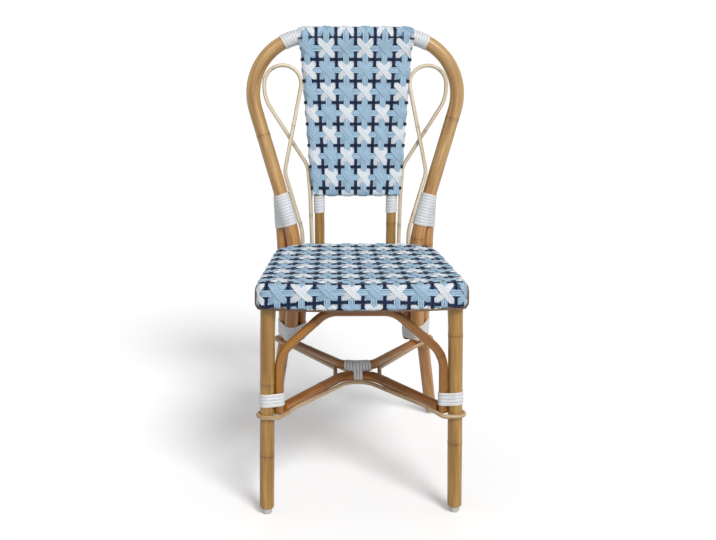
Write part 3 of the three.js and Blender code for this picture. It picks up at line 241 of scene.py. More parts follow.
class Build:
    """Collects tubes and sheets as arrays and turns them into one mesh object."""

    def __init__(self):
        self.points, self.quads, self.caps, self.uvs, self.cap_uvs = [], [], [], [], []
        self.knots, self.seeds = [], []
        self.count = 0

    def grid(self, points, along, around, closed=True, capped=True, knot=None, seed=0.0):
        """Adds a grid of points, rows by columns. Its faces join neighbours, the last column to the
        first if closed, and are turned so that the volume they hold counts positive."""
        rows, columns = points.shape[:2]
        if closed:
            spin = np.roll(points, -1, axis=1)
            sweep = np.cross(points[:-1], spin[:-1])
            if (sweep * (points[1:] - points[:-1])).sum() < 0:
                points = points[:, ::-1]
        last = columns if closed else columns - 1
        i, j = np.meshgrid(np.arange(rows - 1), np.arange(last), indexing="ij")
        k = (j + 1) % columns
        row, above = i * columns, (i + 1) * columns
        corners = np.stack([row + j, row + k, above + k, above + j], -1)
        self.quads.append(self.count + corners.reshape(-1, 4))
        over = np.append(around, 1.0) if closed else np.asarray(around)
        low, high = along[:-1, None] + 0 * j, along[1:, None] + 0 * j
        left, right = over[j], over[j + 1]
        pairs = [np.stack(p, -1) for p in ((low, left), (low, right), (high, right), (high, left))]
        self.uvs.append(np.stack(pairs, 2).reshape(-1, 2))
        if capped:
            first = self.count + np.arange(columns)
            self.caps.append(first[::-1].tolist())
            self.caps.append((first + (rows - 1) * columns).tolist())
            for place in (along[0], along[-1]):
                self.cap_uvs.append(np.stack([np.full(columns, place), np.linspace(0, 1, columns)], -1))
        self.points.append(points.reshape(-1, 3))
        self.knots.append(np.repeat(np.zeros(rows) if knot is None else knot, columns))
        self.seeds.append(np.full(rows * columns, seed))
        self.count += rows * columns

    def finish(self, name, finish, node, slot):
        """Makes the object, in place in its mesh, riding on the only body, instead of a CAD node."""
        mesh = bpy.data.meshes.new(name)
        faces = np.concatenate(self.quads).tolist() + self.caps
        mesh.from_pydata(np.concatenate(self.points).tolist(), [], faces)
        uvs = np.concatenate([np.concatenate(self.uvs)] + self.cap_uvs)
        mesh.uv_layers.new(name="UVMap").data.foreach_set("uv", uvs.astype(np.float32).ravel())
        for label, values in (("knot", self.knots), ("seed", self.seeds)):
            layer = mesh.attributes.new(label, "FLOAT", "POINT")
            layer.data.foreach_set("value", np.concatenate(values).astype(np.float32))
        mesh.shade_smooth()
        mesh.materials.append(finish)
        piece = linked(name, mesh)
        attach(piece, "root")
        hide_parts(node)
        return piece


def knuckle_places(length, spacing, seed):
    """Places of the knuckles along a pole: even steps, each moved a little by a fixed draw."""
    draw = np.random.default_rng(seed)
    count = int(length / spacing)
    return (np.arange(count) + 0.5 + draw.uniform(-0.22, 0.22, count)) * length / max(count, 1)


def add_pole(build, path, radius, reference, seed, spacing=210.0, sides=28, edge=1.4, swell=0.5,
             knuckles=None, flare=0.0):
    """A round pole: its radius wavers by up to 1%, swells at each knuckle as a bell curve with a fine
    groove in its middle, and rounds off at both ends as a quarter circle. A flare widens its first
    90 mm."""
    length = distances(path)[-1]
    knuckles = np.array(knuckles, float) if knuckles else knuckle_places(length, spacing, seed)
    near = np.array([-7, -4.5, -2.8, -1.6, -0.9, -0.45, 0, 0.45, 0.9, 1.6, 2.8, 4.5, 7])
    ends = edge * (1 - np.cos(np.linspace(0, math.pi / 2, 5)))
    steps = np.arange(edge + 2, length - edge - 2, 4.0)
    where = np.concatenate([ends, length - ends, steps, (knuckles[:, None] + near).ravel()])
    where = np.unique(np.round(where[(where >= 0) & (where <= length)], 3))
    off = where[:, None] - knuckles if len(knuckles) else np.full((len(where), 1), 1e3)
    wide = np.exp(-((off / 4.5) ** 2)).max(1)
    fine = np.exp(-((off / 1.0) ** 2)).max(1)
    waver = 0.006 * np.sin(where / 37 + seed) + 0.004 * np.sin(where / 13 + 2.1 * seed)
    size = radius * (1 + waver) + swell * wide - 0.75 * swell * fine + flare * smooth(1 - where / 90)
    inset = np.minimum(np.minimum(where, length - where), edge)
    size = size - edge + np.sqrt(np.maximum(edge**2 - (edge - inset) ** 2, 0))
    ahead = headings(path, where, 1.5)
    across = unit(reference - (ahead @ reference)[:, None] * ahead)
    up = np.cross(ahead, across)
    angle = np.arange(sides) * 2 * math.pi / sides
    ring = across[:, None] * np.cos(angle)[None, :, None] + up[:, None] * np.sin(angle)[None, :, None]
    points = on_path(path, where)[:, None] + ring * size[:, None, None]
    build.grid(placed(points), where * MM, np.arange(sides) / sides, knot=np.maximum(fine, 0.35 * wide),
               seed=float(seed))


def pole_piece(name, path, radius, reference, finish, seed, slot="rattan", **options):
    """One pole of its own along a path, that stands for the CAD node of the same name."""
    build = Build()
    add_pole(build, path, radius, reference, seed, **options)
    build.finish(name + "_pole", finish, name, slot)


# ---- bindings

# The wound strand's thickness, the room it leaves round a pole, its steps per turn, the reach over which
# it reads the pole's direction, and how many turns at each end are marked
STRIP_THICKNESS, STRIP_ROOM, TURN_STEPS, STRIP_REACH, MARKED_TURNS = 1.5, 0.35, 72, 20.0, 0.9
# The width for which the turns are spaced
STRIP_WIDTH = 6.2
# The stretcher's binding: half its length, its turns and those that hold both bows, the strand's width,
# and the bows' radius under it
CAP_HALF_LENGTH, CAP_TURNS, CAP_SHARED, CAP_WIDTH, CAP_RADIUS = 24.5, 9, (3, 6), 5.7, 10.2


def plane_hits(path, origins, directions):
    """Where a path crosses the plane through each origin, square to each direction, nearest to it."""
    gap = ((path[None] - origins[:, None]) * directions[:, None]).sum(-1)
    crossed = gap[:, :-1] * gap[:, 1:] <= 0
    far = np.linalg.norm(path[None, :-1] - origins[:, None], axis=-1) + np.where(crossed, 0, 1e6)
    pick = far.argmin(1)
    rows = np.arange(len(origins))
    before, after = gap[rows, pick], gap[rows, pick + 1]
    share = (before / np.where(before == after, 1, before - after))[:, None]
    return path[pick] * (1 - share) + path[pick + 1] * share


def add_winding(build, guide, span, turns, width, poles, away, reference, steady=0.0, shared=None):
    """A flat strand wound round one, two or three poles in one run. At each step the poles' sections in
    the plane across the guide give circles; the strand lies on their common outline, which at each
    heading is the circle that reaches furthest. It goes round by distance along that outline and climbs
    evenly, and its two ends lie on the side that `away` points to. `shared` gives the turns that hold
    both poles, and `steady` the share by which the axis keeps to its direction in the middle."""
    turn = np.arange(int(turns * TURN_STEPS) + 1) / TURN_STEPS
    where = span[0] + (span[1] - span[0]) * turn / turns
    middle = on_path(guide, where)
    axis = headings(guide, where, STRIP_REACH)
    axis = unit(axis * (1 - steady) + axis[len(axis) // 2] * steady)
    across = unit(reference - (axis @ reference)[:, None] * axis)
    up = np.cross(axis, across)
    centres, radii = [], []
    for path, radius in poles:
        hit = plane_hits(path, middle, axis)
        if shared and len(centres) == 1:
            both = (turn >= shared[0]) & (turn < shared[1])
            hit = np.where(both[:, None], hit, middle)
        offset = hit - middle
        centres.append(np.stack([(offset * across).sum(-1), (offset * up).sum(-1)], -1))
        radii.append(radius + STRIP_ROOM)
    centres, radii = np.stack(centres, 1), np.array(radii)
    start = math.atan2(float(up[0] @ away), float(across[0] @ away))
    heading = start + np.linspace(0, 2 * math.pi, 121)
    normal = circle(heading)
    reach = centres @ normal.T + radii[None, :, None]
    pick = reach.argmax(1)
    outline = np.take_along_axis(centres, pick[..., None], 1) + radii[pick][..., None] * normal[None]
    runs = np.linalg.norm(np.diff(outline, axis=1), axis=-1)
    known = np.concatenate([np.zeros((len(turn), 1)), np.cumsum(runs, 1)], 1)
    target = (turn - np.floor(turn))[:, None] * known[:, -1:]
    index = np.clip((known <= target).sum(1) - 1, 0, len(heading) - 2)
    rows = np.arange(len(turn))
    share = ((target[:, 0] - known[rows, index]) / np.maximum(runs[rows, index], 1e-9))[:, None]
    flat = outline[rows, index] * (1 - share) + outline[rows, index + 1] * share
    out = unit(normal[index] * (1 - share) + normal[index + 1] * share)
    base = middle + across * flat[:, :1] + up * flat[:, 1:]
    outward = across * out[:, :1] + up * out[:, 1:]
    angle = np.linspace(0, math.pi, 7)
    crown = np.stack([0.5 * width * np.cos(angle), STRIP_THICKNESS * (0.3 + 0.7 * np.sin(angle))], -1)
    section = np.concatenate([crown, [[-0.5 * width, 0], [0.5 * width, 0]]])
    points = base[:, None] + axis[:, None] * section[None, :, :1]
    points = points + outward[:, None] * section[None, :, 1:]
    marked = np.minimum(turn, turns - turn) < MARKED_TURNS
    build.grid(placed(points), turn, np.arange(len(section)) / len(section), knot=marked.astype(float))


# ---- woven surfaces


def seat_front_edge():
    """Half of the seat's front outline, from its middle to its side: the bowed edge, then the corner's
    arc. Returns the distance along it, the points 7 mm inside it, and the way out."""
    x = np.linspace(0, 180, 61)
    y = -SEAT_BOW * (1 - (x / SEAT_HALF_WIDTH) ** 2)
    slope = 2 * SEAT_BOW * x / SEAT_HALF_WIDTH**2
    out = unit(np.stack([slope, -np.ones_like(x)], -1))
    angle = np.linspace(math.atan2(out[-1, 1], out[-1, 0]), SEAT_SLOPE, 24)[1:]
    arc = circle(angle)
    points = np.concatenate([np.stack([x, y], -1), np.array(FRONT_CORNER) + FRONT_CORNER_RADIUS * arc])
    out = np.concatenate([out, arc])
    return distances(points), points - SEAT_EDGE * out, out


def eased(places, values, width):
    """A table read finely, its corners rounded by averaging over a raised cosine of the given width."""
    step = 0.02
    fine = np.linspace(places[0], places[-1], int(round((places[-1] - places[0]) / step)) + 1)
    line = np.interp(fine, places, values)
    half = int(round(width / (2 * step)))
    window = 1 + np.cos(np.arange(-half, half + 1) * math.pi / (half + 1))
    padded = np.concatenate([2 * line[0] - line[half:0:-1], line, 2 * line[-1] - line[-2:-half - 2:-1]])
    return fine, np.convolve(padded, window / window.sum(), "valid")


FRONT_ALONG, FRONT_CORE, FRONT_OUT = seat_front_edge()
SEAT_REF_Y = FRONT_CORE[0, 1]
# The rows' pitches on the apron and the top, the rows' places behind the fold, and where the columns of
# this hand-made weave meet the front edge
ROW_PITCH, REAR_ROW_PITCH = 47.6, 47.7
ROWS = eased(np.array([-3, 0, 0.5, 1, 2, 14]),
             np.array([-38.6 - 3 * ROW_PITCH, -38.6, -19.6, 10.0, 60.4,
                       60.4 + 12 * REAR_ROW_PITCH]), 0.5)
COLUMNS = eased(np.array([-8, -5, -4, -3, -2, -1, 0, 1, 2, 3, 4, 5, 8]),
                np.array([-354, -222.0, -179.4, -137.8, -89.1, -42.3, 0.5, 40.5, 86.0, 130.2, 175.3,
                          220.0, 352]), 0.8)
FOLD_END = SEAT_EDGE * math.pi / 2
ROLL_START = FOLD_END + APRON - SEAT_EDGE - APRON_ROLL


def front_edge(along):
    """Points 7 mm inside the seat's front outline, and the ways out, by distance from its middle."""
    core, out = (np.stack([np.interp(along, FRONT_ALONG, table[:, k]) for k in (0, 1)], -1)
                 for table in (FRONT_CORE, FRONT_OUT))
    return core, unit(out)


def fold_down(core, out, beyond, lift):
    """Carries a point over the seat's edge: by a quarter circle of 7 mm, straight down the apron, and
    under by a small roll. `beyond` is the distance past the flat top, `lift` the distance off the
    surface. The top sinks evenly towards the rear."""
    arc = np.clip(beyond, 0, FOLD_END) / SEAT_EDGE
    roll = np.clip((beyond - ROLL_START) / APRON_ROLL, 0, 2.4)
    fall = np.clip(beyond, FOLD_END, ROLL_START) - FOLD_END
    side = SEAT_EDGE * np.sin(arc) - APRON_ROLL * (1 - np.cos(roll))
    settle = SETTLE * np.clip(core[..., 1] / SETTLE_DEPTH, 0, 1)
    drop = settle + SEAT_EDGE * (1 - np.cos(arc)) + fall + APRON_ROLL * np.sin(roll)
    tilt = arc + roll
    side = side + lift * np.sin(tilt)
    drop = drop - lift * np.cos(tilt)
    return np.concatenate([core + out * side[..., None], -drop[..., None]], -1)


def seat_world(points):
    """The seat's own frame to the tables' frame: tilted back and set at its height."""
    x, y, z = points[..., 0], points[..., 1], points[..., 2]
    c, s = math.cos(SEAT_TILT), math.sin(SEAT_TILT)
    return np.stack([x, SEAT_FRONT_Y + y * c + z * s, SEAT_Z - y * s + z * c], -1)


def seat_surface(u, v, lift=0.0):
    """The seat's weave as a surface of column u and row v: a flat top whose columns draw in to the
    rear, folded down over its edges. Returns the points and whether they are on the weave."""
    u, v = np.broadcast_arrays(np.asarray(u, float), np.asarray(v, float))
    lift = np.broadcast_to(lift, u.shape)
    behind = np.interp(v, *ROWS)
    across = np.interp(u, *COLUMNS) * (1 - DRAW_IN * np.clip(behind, 0, None) / DRAW_IN_DEPTH)
    side, along = np.where(across < 0, -1.0, 1.0), np.abs(across)
    reached = np.minimum(along / APRON_ROWS_REACH, APRON_ROWS_MOST)
    lower = APRON_ROWS + APRON_ROWS_DROP * reached**2
    behind = np.where(behind < 0, behind * lower, behind)
    held = np.minimum(along, BOW_HELD)
    core = front_edge(held)[0]
    fade = 1 - smooth(behind / BOW_FADE)
    x = along + fade * (core[..., 0] - held)
    y = behind + SEAT_REF_Y + fade * (core[..., 1] - SEAT_REF_Y)
    flat = np.stack([x, y], -1)
    side_out = np.array([math.cos(SEAT_SLOPE), math.sin(SEAT_SLOPE)])
    side_way = np.array([-side_out[1], side_out[0]])
    rear = flat - np.array(REAR_CORNER)
    fore = flat - np.array(FRONT_CORNER)
    past_rear = rear @ side_way > 0
    rear_mid = past_rear & (rear[..., 0] < 0)
    rear_turn = past_rear & ~rear_mid
    fore_turn = (fore @ side_way < 0) & (fore[..., 0] > 0)
    beyond = flat @ side_out - (SEAT_HALF_WIDTH * side_out[0] - SEAT_EDGE)
    out = np.broadcast_to(side_out, flat.shape)
    for here, reach, way in (
            (rear_mid, y - (SEAT_DEPTH - SEAT_EDGE), np.array([0.0, 1.0])),
            (rear_turn, np.linalg.norm(rear, axis=-1) - (REAR_CORNER_RADIUS - SEAT_EDGE), unit(rear)),
            (fore_turn, np.linalg.norm(fore, axis=-1) - (FRONT_CORNER_RADIUS - SEAT_EDGE), unit(fore))):
        beyond = np.where(here, reach, beyond)
        out = np.where(here[..., None], way, out)
    inner = flat - out * np.maximum(beyond, 0)[..., None]
    top = fold_down(inner, out, np.maximum(beyond, 0), lift)
    apron = fold_down(*front_edge(along), np.maximum(-behind, 0), lift)
    front = behind < 0
    points = np.where(front[..., None], apron, top) * np.stack([side, 1 + 0 * side, 1 + 0 * side], -1)
    end = ROLL_START + 2.2 * APRON_ROLL
    width, low = FRONT_ALONG[-1] + 3 - APRON_CORNER, FOLD_END + APRON - SEAT_EDGE - APRON_CORNER
    corner = np.hypot(np.maximum(along - width, 0), np.maximum(-behind - low, 0))
    in_corner = (along < width) | (corner < APRON_CORNER)
    on_front = (along < width + APRON_CORNER) & (-behind < end) & in_corner
    on_top = (beyond < end) & ~(fore_turn & (beyond > FOLD_END))
    return seat_world(points), np.where(front, on_front, on_top)


def panel_surface(u, v, lift=0.0):
    """The back panel's weave as a surface of column u and row v: down its front for v above 0, over
    the hoop from 0 to -1, and down its rear below. Each side turns round the upright at u = 3 and -3.
    Returns the points and whether they are on the weave."""
    u, v = np.broadcast_arrays(np.asarray(u, float), np.asarray(v, float))
    front = v > -0.5
    row = np.where(front, v, -1 - v)
    start = -math.asin((PANEL_TOP - PANEL_ROW_ZERO) / PANEL_TOP_RADIUS)
    over = np.clip(-row, 0, 0.5) * (math.pi - 2 * start) + start
    z = PANEL_ROW_ZERO - PANEL_ROW_PITCH * np.maximum(row, 0)
    bulge = smooth((z - WIDENING_Z) / WIDENING_HEIGHT)
    width = np.interp(np.clip(z, PANEL_BOTTOM, PANEL_TOP), UPRIGHT_Z, UPRIGHT_X)
    pitch = (4 * width + 2 * math.pi * PANEL_HALF_THICKNESS) / 12
    spread = SIDE_ROOM + SIDE_SKEW * np.sign(u) + SIDE_WIDENING * bulge
    width = width + spread
    along = np.abs(u) * pitch + np.maximum(np.abs(u) - 2, 0) * spread
    turn = np.clip((along - width) / PANEL_HALF_THICKNESS, 0, math.pi / 2)
    x = np.minimum(along, width) + (PANEL_HALF_THICKNESS + lift) * np.sin(turn)
    depth = PANEL_HALF_THICKNESS + (PANEL_TOP_RADIUS - PANEL_HALF_THICKNESS) * bulge
    outer = smooth((along - (width - PANEL_SIDE)) / PANEL_SIDE_BLEND)
    roll = PANEL_ROLL + (PANEL_SIDE_ROLL - PANEL_ROLL) * outer
    roll_start = (PANEL_ROW_ZERO - PANEL_BOTTOM - roll) / PANEL_ROW_PITCH
    under = np.clip((PANEL_BOTTOM + roll - z) / roll, 0, math.pi / 2)
    shut = 1 - smooth((z - OPEN_Z) / OPEN_HEIGHT)
    across = depth - roll * (1 - np.cos(under)) + lift * np.cos(under)
    across = across * (1 + (np.cos(turn) - 1) * shut)
    bottom = PANEL_BOTTOM + roll * (1 - np.sin(under)) - lift * np.sin(under)
    height = np.where(row > roll_start, bottom, z)
    capped = row < 0
    sag = np.maximum(x - HOOP_STRAIGHT, 0) ** 2 / (2 * HOOP_BEND)
    across = np.where(capped, (PANEL_TOP_RADIUS + lift) * np.cos(over), across)
    rise = (PANEL_TOP_RADIUS + lift) * np.sin(over)
    height = np.where(capped, PANEL_TOP + rise, height) - sag * smooth((height - SAG_Z) / SAG_HEIGHT)
    across = np.where(front, across, -across)
    way = 1 / math.hypot(1, BACK_LEAN)
    points = np.stack([np.sign(u) * x, BACK_Y + BACK_LEAN * (height - BACK_Z) - across * way,
                       height + across * BACK_LEAN * way], -1)
    limit = roll_start + roll * 1.5 / PANEL_ROW_PITCH
    return points, (np.abs(u) <= 3.0001) & (row < limit)


# Where each family of strands lies, in layers: the height over the surface at a crossing of the dark
# strands, and half a cell away. Upright and level dark strands, upright and level bands, and the two
# slanting bands.
NEST = {
    "dark_up": (1.75, -0.65),
    "dark_level": (0.85, -0.4),
    "band_up": (0.55, -0.65),
    "band_level": (0.5, -1.6),
    "slant_over": (-1.3, 2.1),
    "slant_under": (-2.2, 1.15),
}
# Where the strands of a family lie beside its line, and a strand's width and thickness
OFFSETS = {"dark": (-1.62, 1.62), "band": (-4.75, -1.58, 1.58, 4.75)}
STRAND_WIDTH, STRAND_THICKNESS = 3.15, 1.25
# How much higher the proud row lies, and the longest step of a strand that isn't a jump off the weave
PROUD, LONGEST_STEP = 0.6, 30
# How far the linings lie off the two weaves' surfaces, and their thickness
SEAT_LINING, PANEL_LINING, LINING_THICKNESS = -3.4, -3.3, 0.8


def wave(place, nest):
    """A height that swings between its two values, as a cosine c with flattened tops: 1.25 c minus
    0.25 c cubed."""
    swing = np.cos(2 * math.pi * place)
    swing = 1.25 * swing - 0.25 * swing**3
    high, low = NEST[nest]
    return (high + low) / 2 + (high - low) / 2 * swing


def add_strand(build, surface, facing, u, v, way, offset, height, seed):
    """One strand along a line of the woven surface. It lies `offset` beside the line, follows the
    surface at the given height, and is a flattened round in section."""
    small = 0.004
    across_u = (surface(u + small, v)[0] - surface(u - small, v)[0]) / (2 * small)
    across_v = (surface(u, v + small)[0] - surface(u, v - small)[0]) / (2 * small)
    normal = unit(np.cross(across_u, across_v)) * facing
    beside = unit(np.cross(normal, across_u * way[0] + across_v * way[1]))
    pairs = ((across_u, across_u), (across_u, across_v), (across_v, across_v))
    a, b, c = ((p * q).sum(-1) for p, q in pairs)
    p, q = (beside * across_u).sum(-1), (beside * across_v).sum(-1)
    spread = np.maximum(a * c - b * b, 1e-6)
    u2, v2 = u + offset * (c * p - b * q) / spread, v + offset * (a * q - b * p) / spread
    centre, inside = surface(u2, v2, height)
    normal = unit(centre - surface(u2, v2, height - 0.5)[0])
    cuts = np.flatnonzero(np.diff(np.concatenate([[0], inside.astype(int), [0]])))
    angle = np.arange(6) * math.pi / 3
    for first, last in zip(cuts[::2], cuts[1::2]):
        if last - first < 3:
            continue
        line, out = centre[first:last], normal[first:last]
        along = distances(line)
        if np.diff(along).max() > LONGEST_STEP:
            continue
        ahead = unit(np.gradient(line, axis=0))
        flat = unit(np.cross(out, ahead))
        rise = np.cross(ahead, flat)
        ring = flat[:, None] * (np.cos(angle) * STRAND_WIDTH / 2)[None, :, None]
        ring = ring + rise[:, None] * (np.sin(angle) * STRAND_THICKNESS / 2)[None, :, None]
        build.grid(placed(line[:, None] + ring), along * MM, np.arange(6) / 6, seed=float(seed))


def weave(surface, facing, columns, rows, parity, step, over, proud_row=None):
    """All strands of a woven surface. Dark strands run through the crossings in both directions, bands
    of four run halfway between them, and slanting bands of four cross in the middle of each cell, white
    in every other one. Returns a build per colour. `over` is 1 if the slanting bands that climb with u
    and v lie on top. The level dark strands of `proud_row` lie higher, where the cells are short."""
    builds = {key: Build() for key in ("dark", "band", "star_blue", "star_white")}
    u_line = np.arange(columns[0] - 1, columns[1] + 1 + step, step)
    v_line = np.arange(rows[0] - 1, rows[1] + 1 + step, step)
    climbing, falling = ("slant_over", "slant_under") if over == 1 else ("slant_under", "slant_over")
    seed = 0

    def lay(key, u, v, way, height):
        nonlocal seed
        for offset in OFFSETS["dark" if key == "dark" else "band"]:
            seed += 1
            add_strand(builds[key], surface, facing, u, v, way, offset, height, seed)

    def upright(key, place):
        lay(key, np.full_like(v_line, place), v_line, (0, 1), wave(v_line, key + "_up"))

    def level(key, place, proud=0.0):
        lay(key, u_line, np.full_like(u_line, place), (1, 0), wave(u_line, key + "_level") + proud)

    for i in range(columns[0], columns[1] + 1):
        upright("dark", i)
        upright("band", i + 0.5)
    upright("band", columns[0] - 0.5)
    for j in range(rows[0], rows[1] + 1):
        level("dark", j, PROUD * (j == proud_row))
        level("band", j + 0.5)
    level("band", rows[0] - 0.5)
    for k in range(columns[0] - rows[1] - 1, columns[1] - rows[0] + 2):
        key = "star_white" if (k + parity) % 2 == 0 else "star_blue"
        lay(key, v_line + k, v_line, (1, 1), wave(v_line, climbing))
    for m in range(columns[0] + rows[0] - 1, columns[1] + rows[1] + 2):
        key = "star_white" if (m - 1 + parity) % 2 == 0 else "star_blue"
        lay(key, m - v_line, v_line, (1, -1), wave(v_line, falling))
    return builds


def finish_weave(node, builds):
    """Turns the strands of a weave into one piece per colour."""
    finishes = {"dark": "strand_navy", "band": "strand_blue", "star_blue": "strand_blue",
                "star_white": "strand_white"}
    for key, build in builds.items():
        build.finish(f"{node}_{key}", material(finishes[key]), node, "weave")


def lining_sheet(name, points, closed, node):
    """A thin dark sheet behind the strands, given some thickness: painted shade, standing for the shade
    seen through the gaps of the weave. A closed one starts from a point.
    """
    rows, columns = points.shape[:2]
    build = Build()
    build.grid(placed(points), np.linspace(0, 1, rows), np.linspace(0, 1, columns, endpoint=not closed),
               closed=closed, capped=False)
    piece = build.finish(name, material("lining"), node, "weave")
    if closed:
        piece.modifiers.new("Centre", "WELD").merge_threshold = WELD
    solid = piece.modifiers.new("Thickness", "SOLIDIFY")
    solid.thickness, solid.offset = LINING_THICKNESS * MM, 0


def seat_outline():
    """The whole loop of the seat's outline, 7 mm inside it, and the ways out: front, corner, side, rear
    corner and rear on the right, then the same on the left."""
    angle = np.linspace(SEAT_SLOPE, math.pi / 2, 16)
    out = circle(angle)
    turn = np.array(REAR_CORNER) + (REAR_CORNER_RADIUS - SEAT_EDGE) * out
    share = np.linspace(0, 1, 14)[1:-1, None]
    side = FRONT_CORE[-1] + (turn[0] - FRONT_CORE[-1]) * share
    rear = turn[-1] * np.stack([np.linspace(1, 0, 8)[1:], np.ones(7)], -1)
    core = np.concatenate([FRONT_CORE[::2], side, turn, rear])
    ways = np.concatenate([FRONT_OUT[::2], np.tile(out[:1], (12, 1)), out, np.tile(out[-1:], (7, 1))])
    flip = np.array([-1, 1])
    return np.concatenate([core, core[-2:0:-1] * flip]), np.concatenate([ways, ways[-2:0:-1] * flip])


# ---- materials


class Value:
    """A shader socket in Python expressions. Each operator adds one Math node."""

    def __init__(self, shader, socket):
        self.shader, self.socket = shader, socket

    def math(self, operation, *others):
        return self.shader.node("ShaderNodeMath", {"operation": operation}, (self, *others))

    def __add__(self, other):
        return self.math("ADD", other)

    def __mul__(self, other):
        return self.math("MULTIPLY", other)

    __radd__ = __add__
    __rmul__ = __mul__

    def over(self, low, high):
        """0 at low, 1 at high, straight between and held outside."""
        return self.shader.node("ShaderNodeMapRange", {"clamp": True},
                                {"Value": self, "From Min": low, "From Max": high})


class Shader:
    """One material's node tree."""

    def __init__(self, name):
        self.material = bpy.data.materials.new(name)
        self.material.use_nodes = True
        self.tree = self.material.node_tree
        self.bsdf = self.tree.nodes["Principled BSDF"]

    def node(self, kind, settings=None, sockets=(), output=0):
        """Adds a node: its type, its settings, and values or links of its sockets by name or order."""
        made = self.tree.nodes.new(kind)
        for key, value in (settings or {}).items():
            setattr(made, key, value)
        for key, value in sockets.items() if isinstance(sockets, dict) else enumerate(sockets):
            self.join(made.inputs[key], value)
        return Value(self, made.outputs[output])

    def join(self, socket, value):
        """Links a value to a socket, or sets the socket to a number, vector or colour."""
        if isinstance(value, Value):
            self.tree.links.new(value.socket, socket)
        else:
            socket.default_value = (*value, 1.0) if socket.type == "RGBA" else value

    def attribute(self, name):
        return self.node("ShaderNodeAttribute", {"attribute_name": name}, output="Fac")

    def place(self):
        return self.node("ShaderNodeTexCoord", output="Object")

    def mix(self, factor, first, second):
        """A colour between two: Mix in its colour form, whose sockets are 0, 6 and 7 and output 2."""
        return self.node("ShaderNodeMix", {"data_type": "RGBA"}, {0: factor, 6: first, 7: second}, 2)

    def noise(self, vector, scale, detail=3.0, roughness=0.5):
        return self.node("ShaderNodeTexNoise", {},
                         {"Vector": vector, "Scale": scale, "Detail": detail, "Roughness": roughness})

    def straightened(self, radius_scale, along_scale, seed_step=3.7):
        """The pole rolled out straight: (cos, sin) of the way round, and the distance along it, each
        scaled, so that a noise read there is long along the pole and has no seam."""
        uv = self.node("ShaderNodeUVMap", {"uv_map": "UVMap"})
        along, around = (self.node("ShaderNodeSeparateXYZ", {}, (uv,), k) for k in (0, 1))
        angle = around * (2 * math.pi)
        shift = self.attribute("seed") * seed_step
        return self.node("ShaderNodeCombineXYZ", {}, (
            angle.math("COSINE") * radius_scale, angle.math("SINE") * radius_scale,
            along * along_scale + shift))

    def finish(self, color, roughness, bump=None, strength=0.2, distance=0.0004, **constants):
        """Joins the colour, roughness and bump to the shader and sets its constants by name."""
        self.join(self.bsdf.inputs["Base Color"], color)
        self.join(self.bsdf.inputs["Roughness"], roughness)
        if bump is not None:
            normal = self.node("ShaderNodeBump", {},
                               {"Strength": strength, "Distance": distance, "Height": bump})
            self.join(self.bsdf.inputs["Normal"], normal)
        for key, value in constants.items():
            self.bsdf.inputs[key.replace("_", " ")].default_value = value
        return self.material


def linear(color):
    """An sRGB colour of 0 to 1 as a linear one."""
    return tuple(c / 12.92 if c <= 0.04045 else ((c + 0.055) / 1.055) ** 2.4 for c in color)


def shade(color, gain):
    """A colour made lighter or darker by one factor."""
    return tuple(min(1.0, c * gain) for c in color)


def rattan(name, color, dark, gloss, feet=None):
    """Peeled rattan under lacquer: streaks along the pole, broad patches, fine pores, and a dark line in
    a patchy darker smudge at each knuckle. `feet` is a factor per colour channel that darkens and reddens
    the pole below the seat's height: partly painted shade under the seat, partly a redder tone of the
    rattan."""
    shader = Shader(name)
    dark = dark or shade(color, 0.5)
    broad = shader.noise(shader.straightened(0.9, 6.0), 1.0, 2.0)
    streak = shader.noise(shader.straightened(5.0, 9.0), 1.3, 4.0, 0.6)
    fine = shader.noise(shader.straightened(26.0, 30.0), 1.0, 2.0)
    knot = shader.attribute("knot")
    tone = shader.mix(broad.over(0.36, 0.66), shade(color, 1.16), dark)
    for factor, other in (
            (streak.over(0.42, 0.68) * 0.72, shade(dark, 0.72)),
            (fine.over(0.56, 0.74) * 0.35, shade(dark, 0.55)),
            (streak.over(0.46, 0.30) * 0.45, shade(color, 1.45)),
            (knot.over(0.0, 0.35) * broad.over(0.3, 0.6) * 0.45, shade(dark, 0.5)),
            (knot.over(0.4, 0.9) * (streak.over(0.35, 0.6) * 0.5 + 0.2), shade(dark, 0.3))):
        tone = shader.mix(factor, tone, other)
    # Painted shade under the seat, with a redder rattan tone: darker and redder from 0.62 m to 0.50 m
    # down
    if feet:
        height = shader.node("ShaderNodeSeparateXYZ", {}, (shader.place(),), 2)
        shaded_and_reddened = shader.node("ShaderNodeVectorMath", {"operation": "MULTIPLY"}, (tone, feet))
        tone = shader.mix(height.over(0.62, 0.50), tone, shaded_and_reddened)
    rough = gloss - 0.06 + streak * 0.16
    return shader.finish(tone, rough, 0.5 * streak + 0.5 * fine, 0.35, 0.0003,
                         Coat_Weight=0.2, Coat_Roughness=0.3)


def strand(name, color, gloss=0.42, spread=0.10):
    """Extruded flat plastic strand: a slow change of tone along and between strands, and fine drawing
    lines lengthwise."""
    shader = Shader(name)
    slow = shader.noise(shader.straightened(0.4, 18.0, 5.1), 1.0, 2.0)
    lines = shader.noise(shader.straightened(3.0, 40.0), 1.0, 3.0)
    tone = shader.mix(slow.over(0.35, 0.65), shade(color, 1 - spread), shade(color, 1 + spread))
    tone = shader.mix(lines.over(0.55, 0.75) * 0.4, tone, shade(color, 1 - 2.5 * spread))
    rough = gloss - 0.07 + lines * 0.15
    return shader.finish(tone, rough, lines, 0.25, 0.0002, Specular_IOR_Level=0.3)


def binding_finish(name, color, cream):
    """The wound strand: off white, a little cream on its first and last turns, with soft mottling."""
    shader = Shader(name)
    mottle = shader.noise(shader.place(), 160.0, 3.0)
    tone = shader.mix(mottle.over(0.35, 0.7) * 0.5, color, shade(color, 0.90))
    tone = shader.mix(shader.attribute("knot") * 0.55, tone, cream)
    return shader.finish(tone, 0.32 + mottle * 0.2, mottle, 0.15, 0.0002)


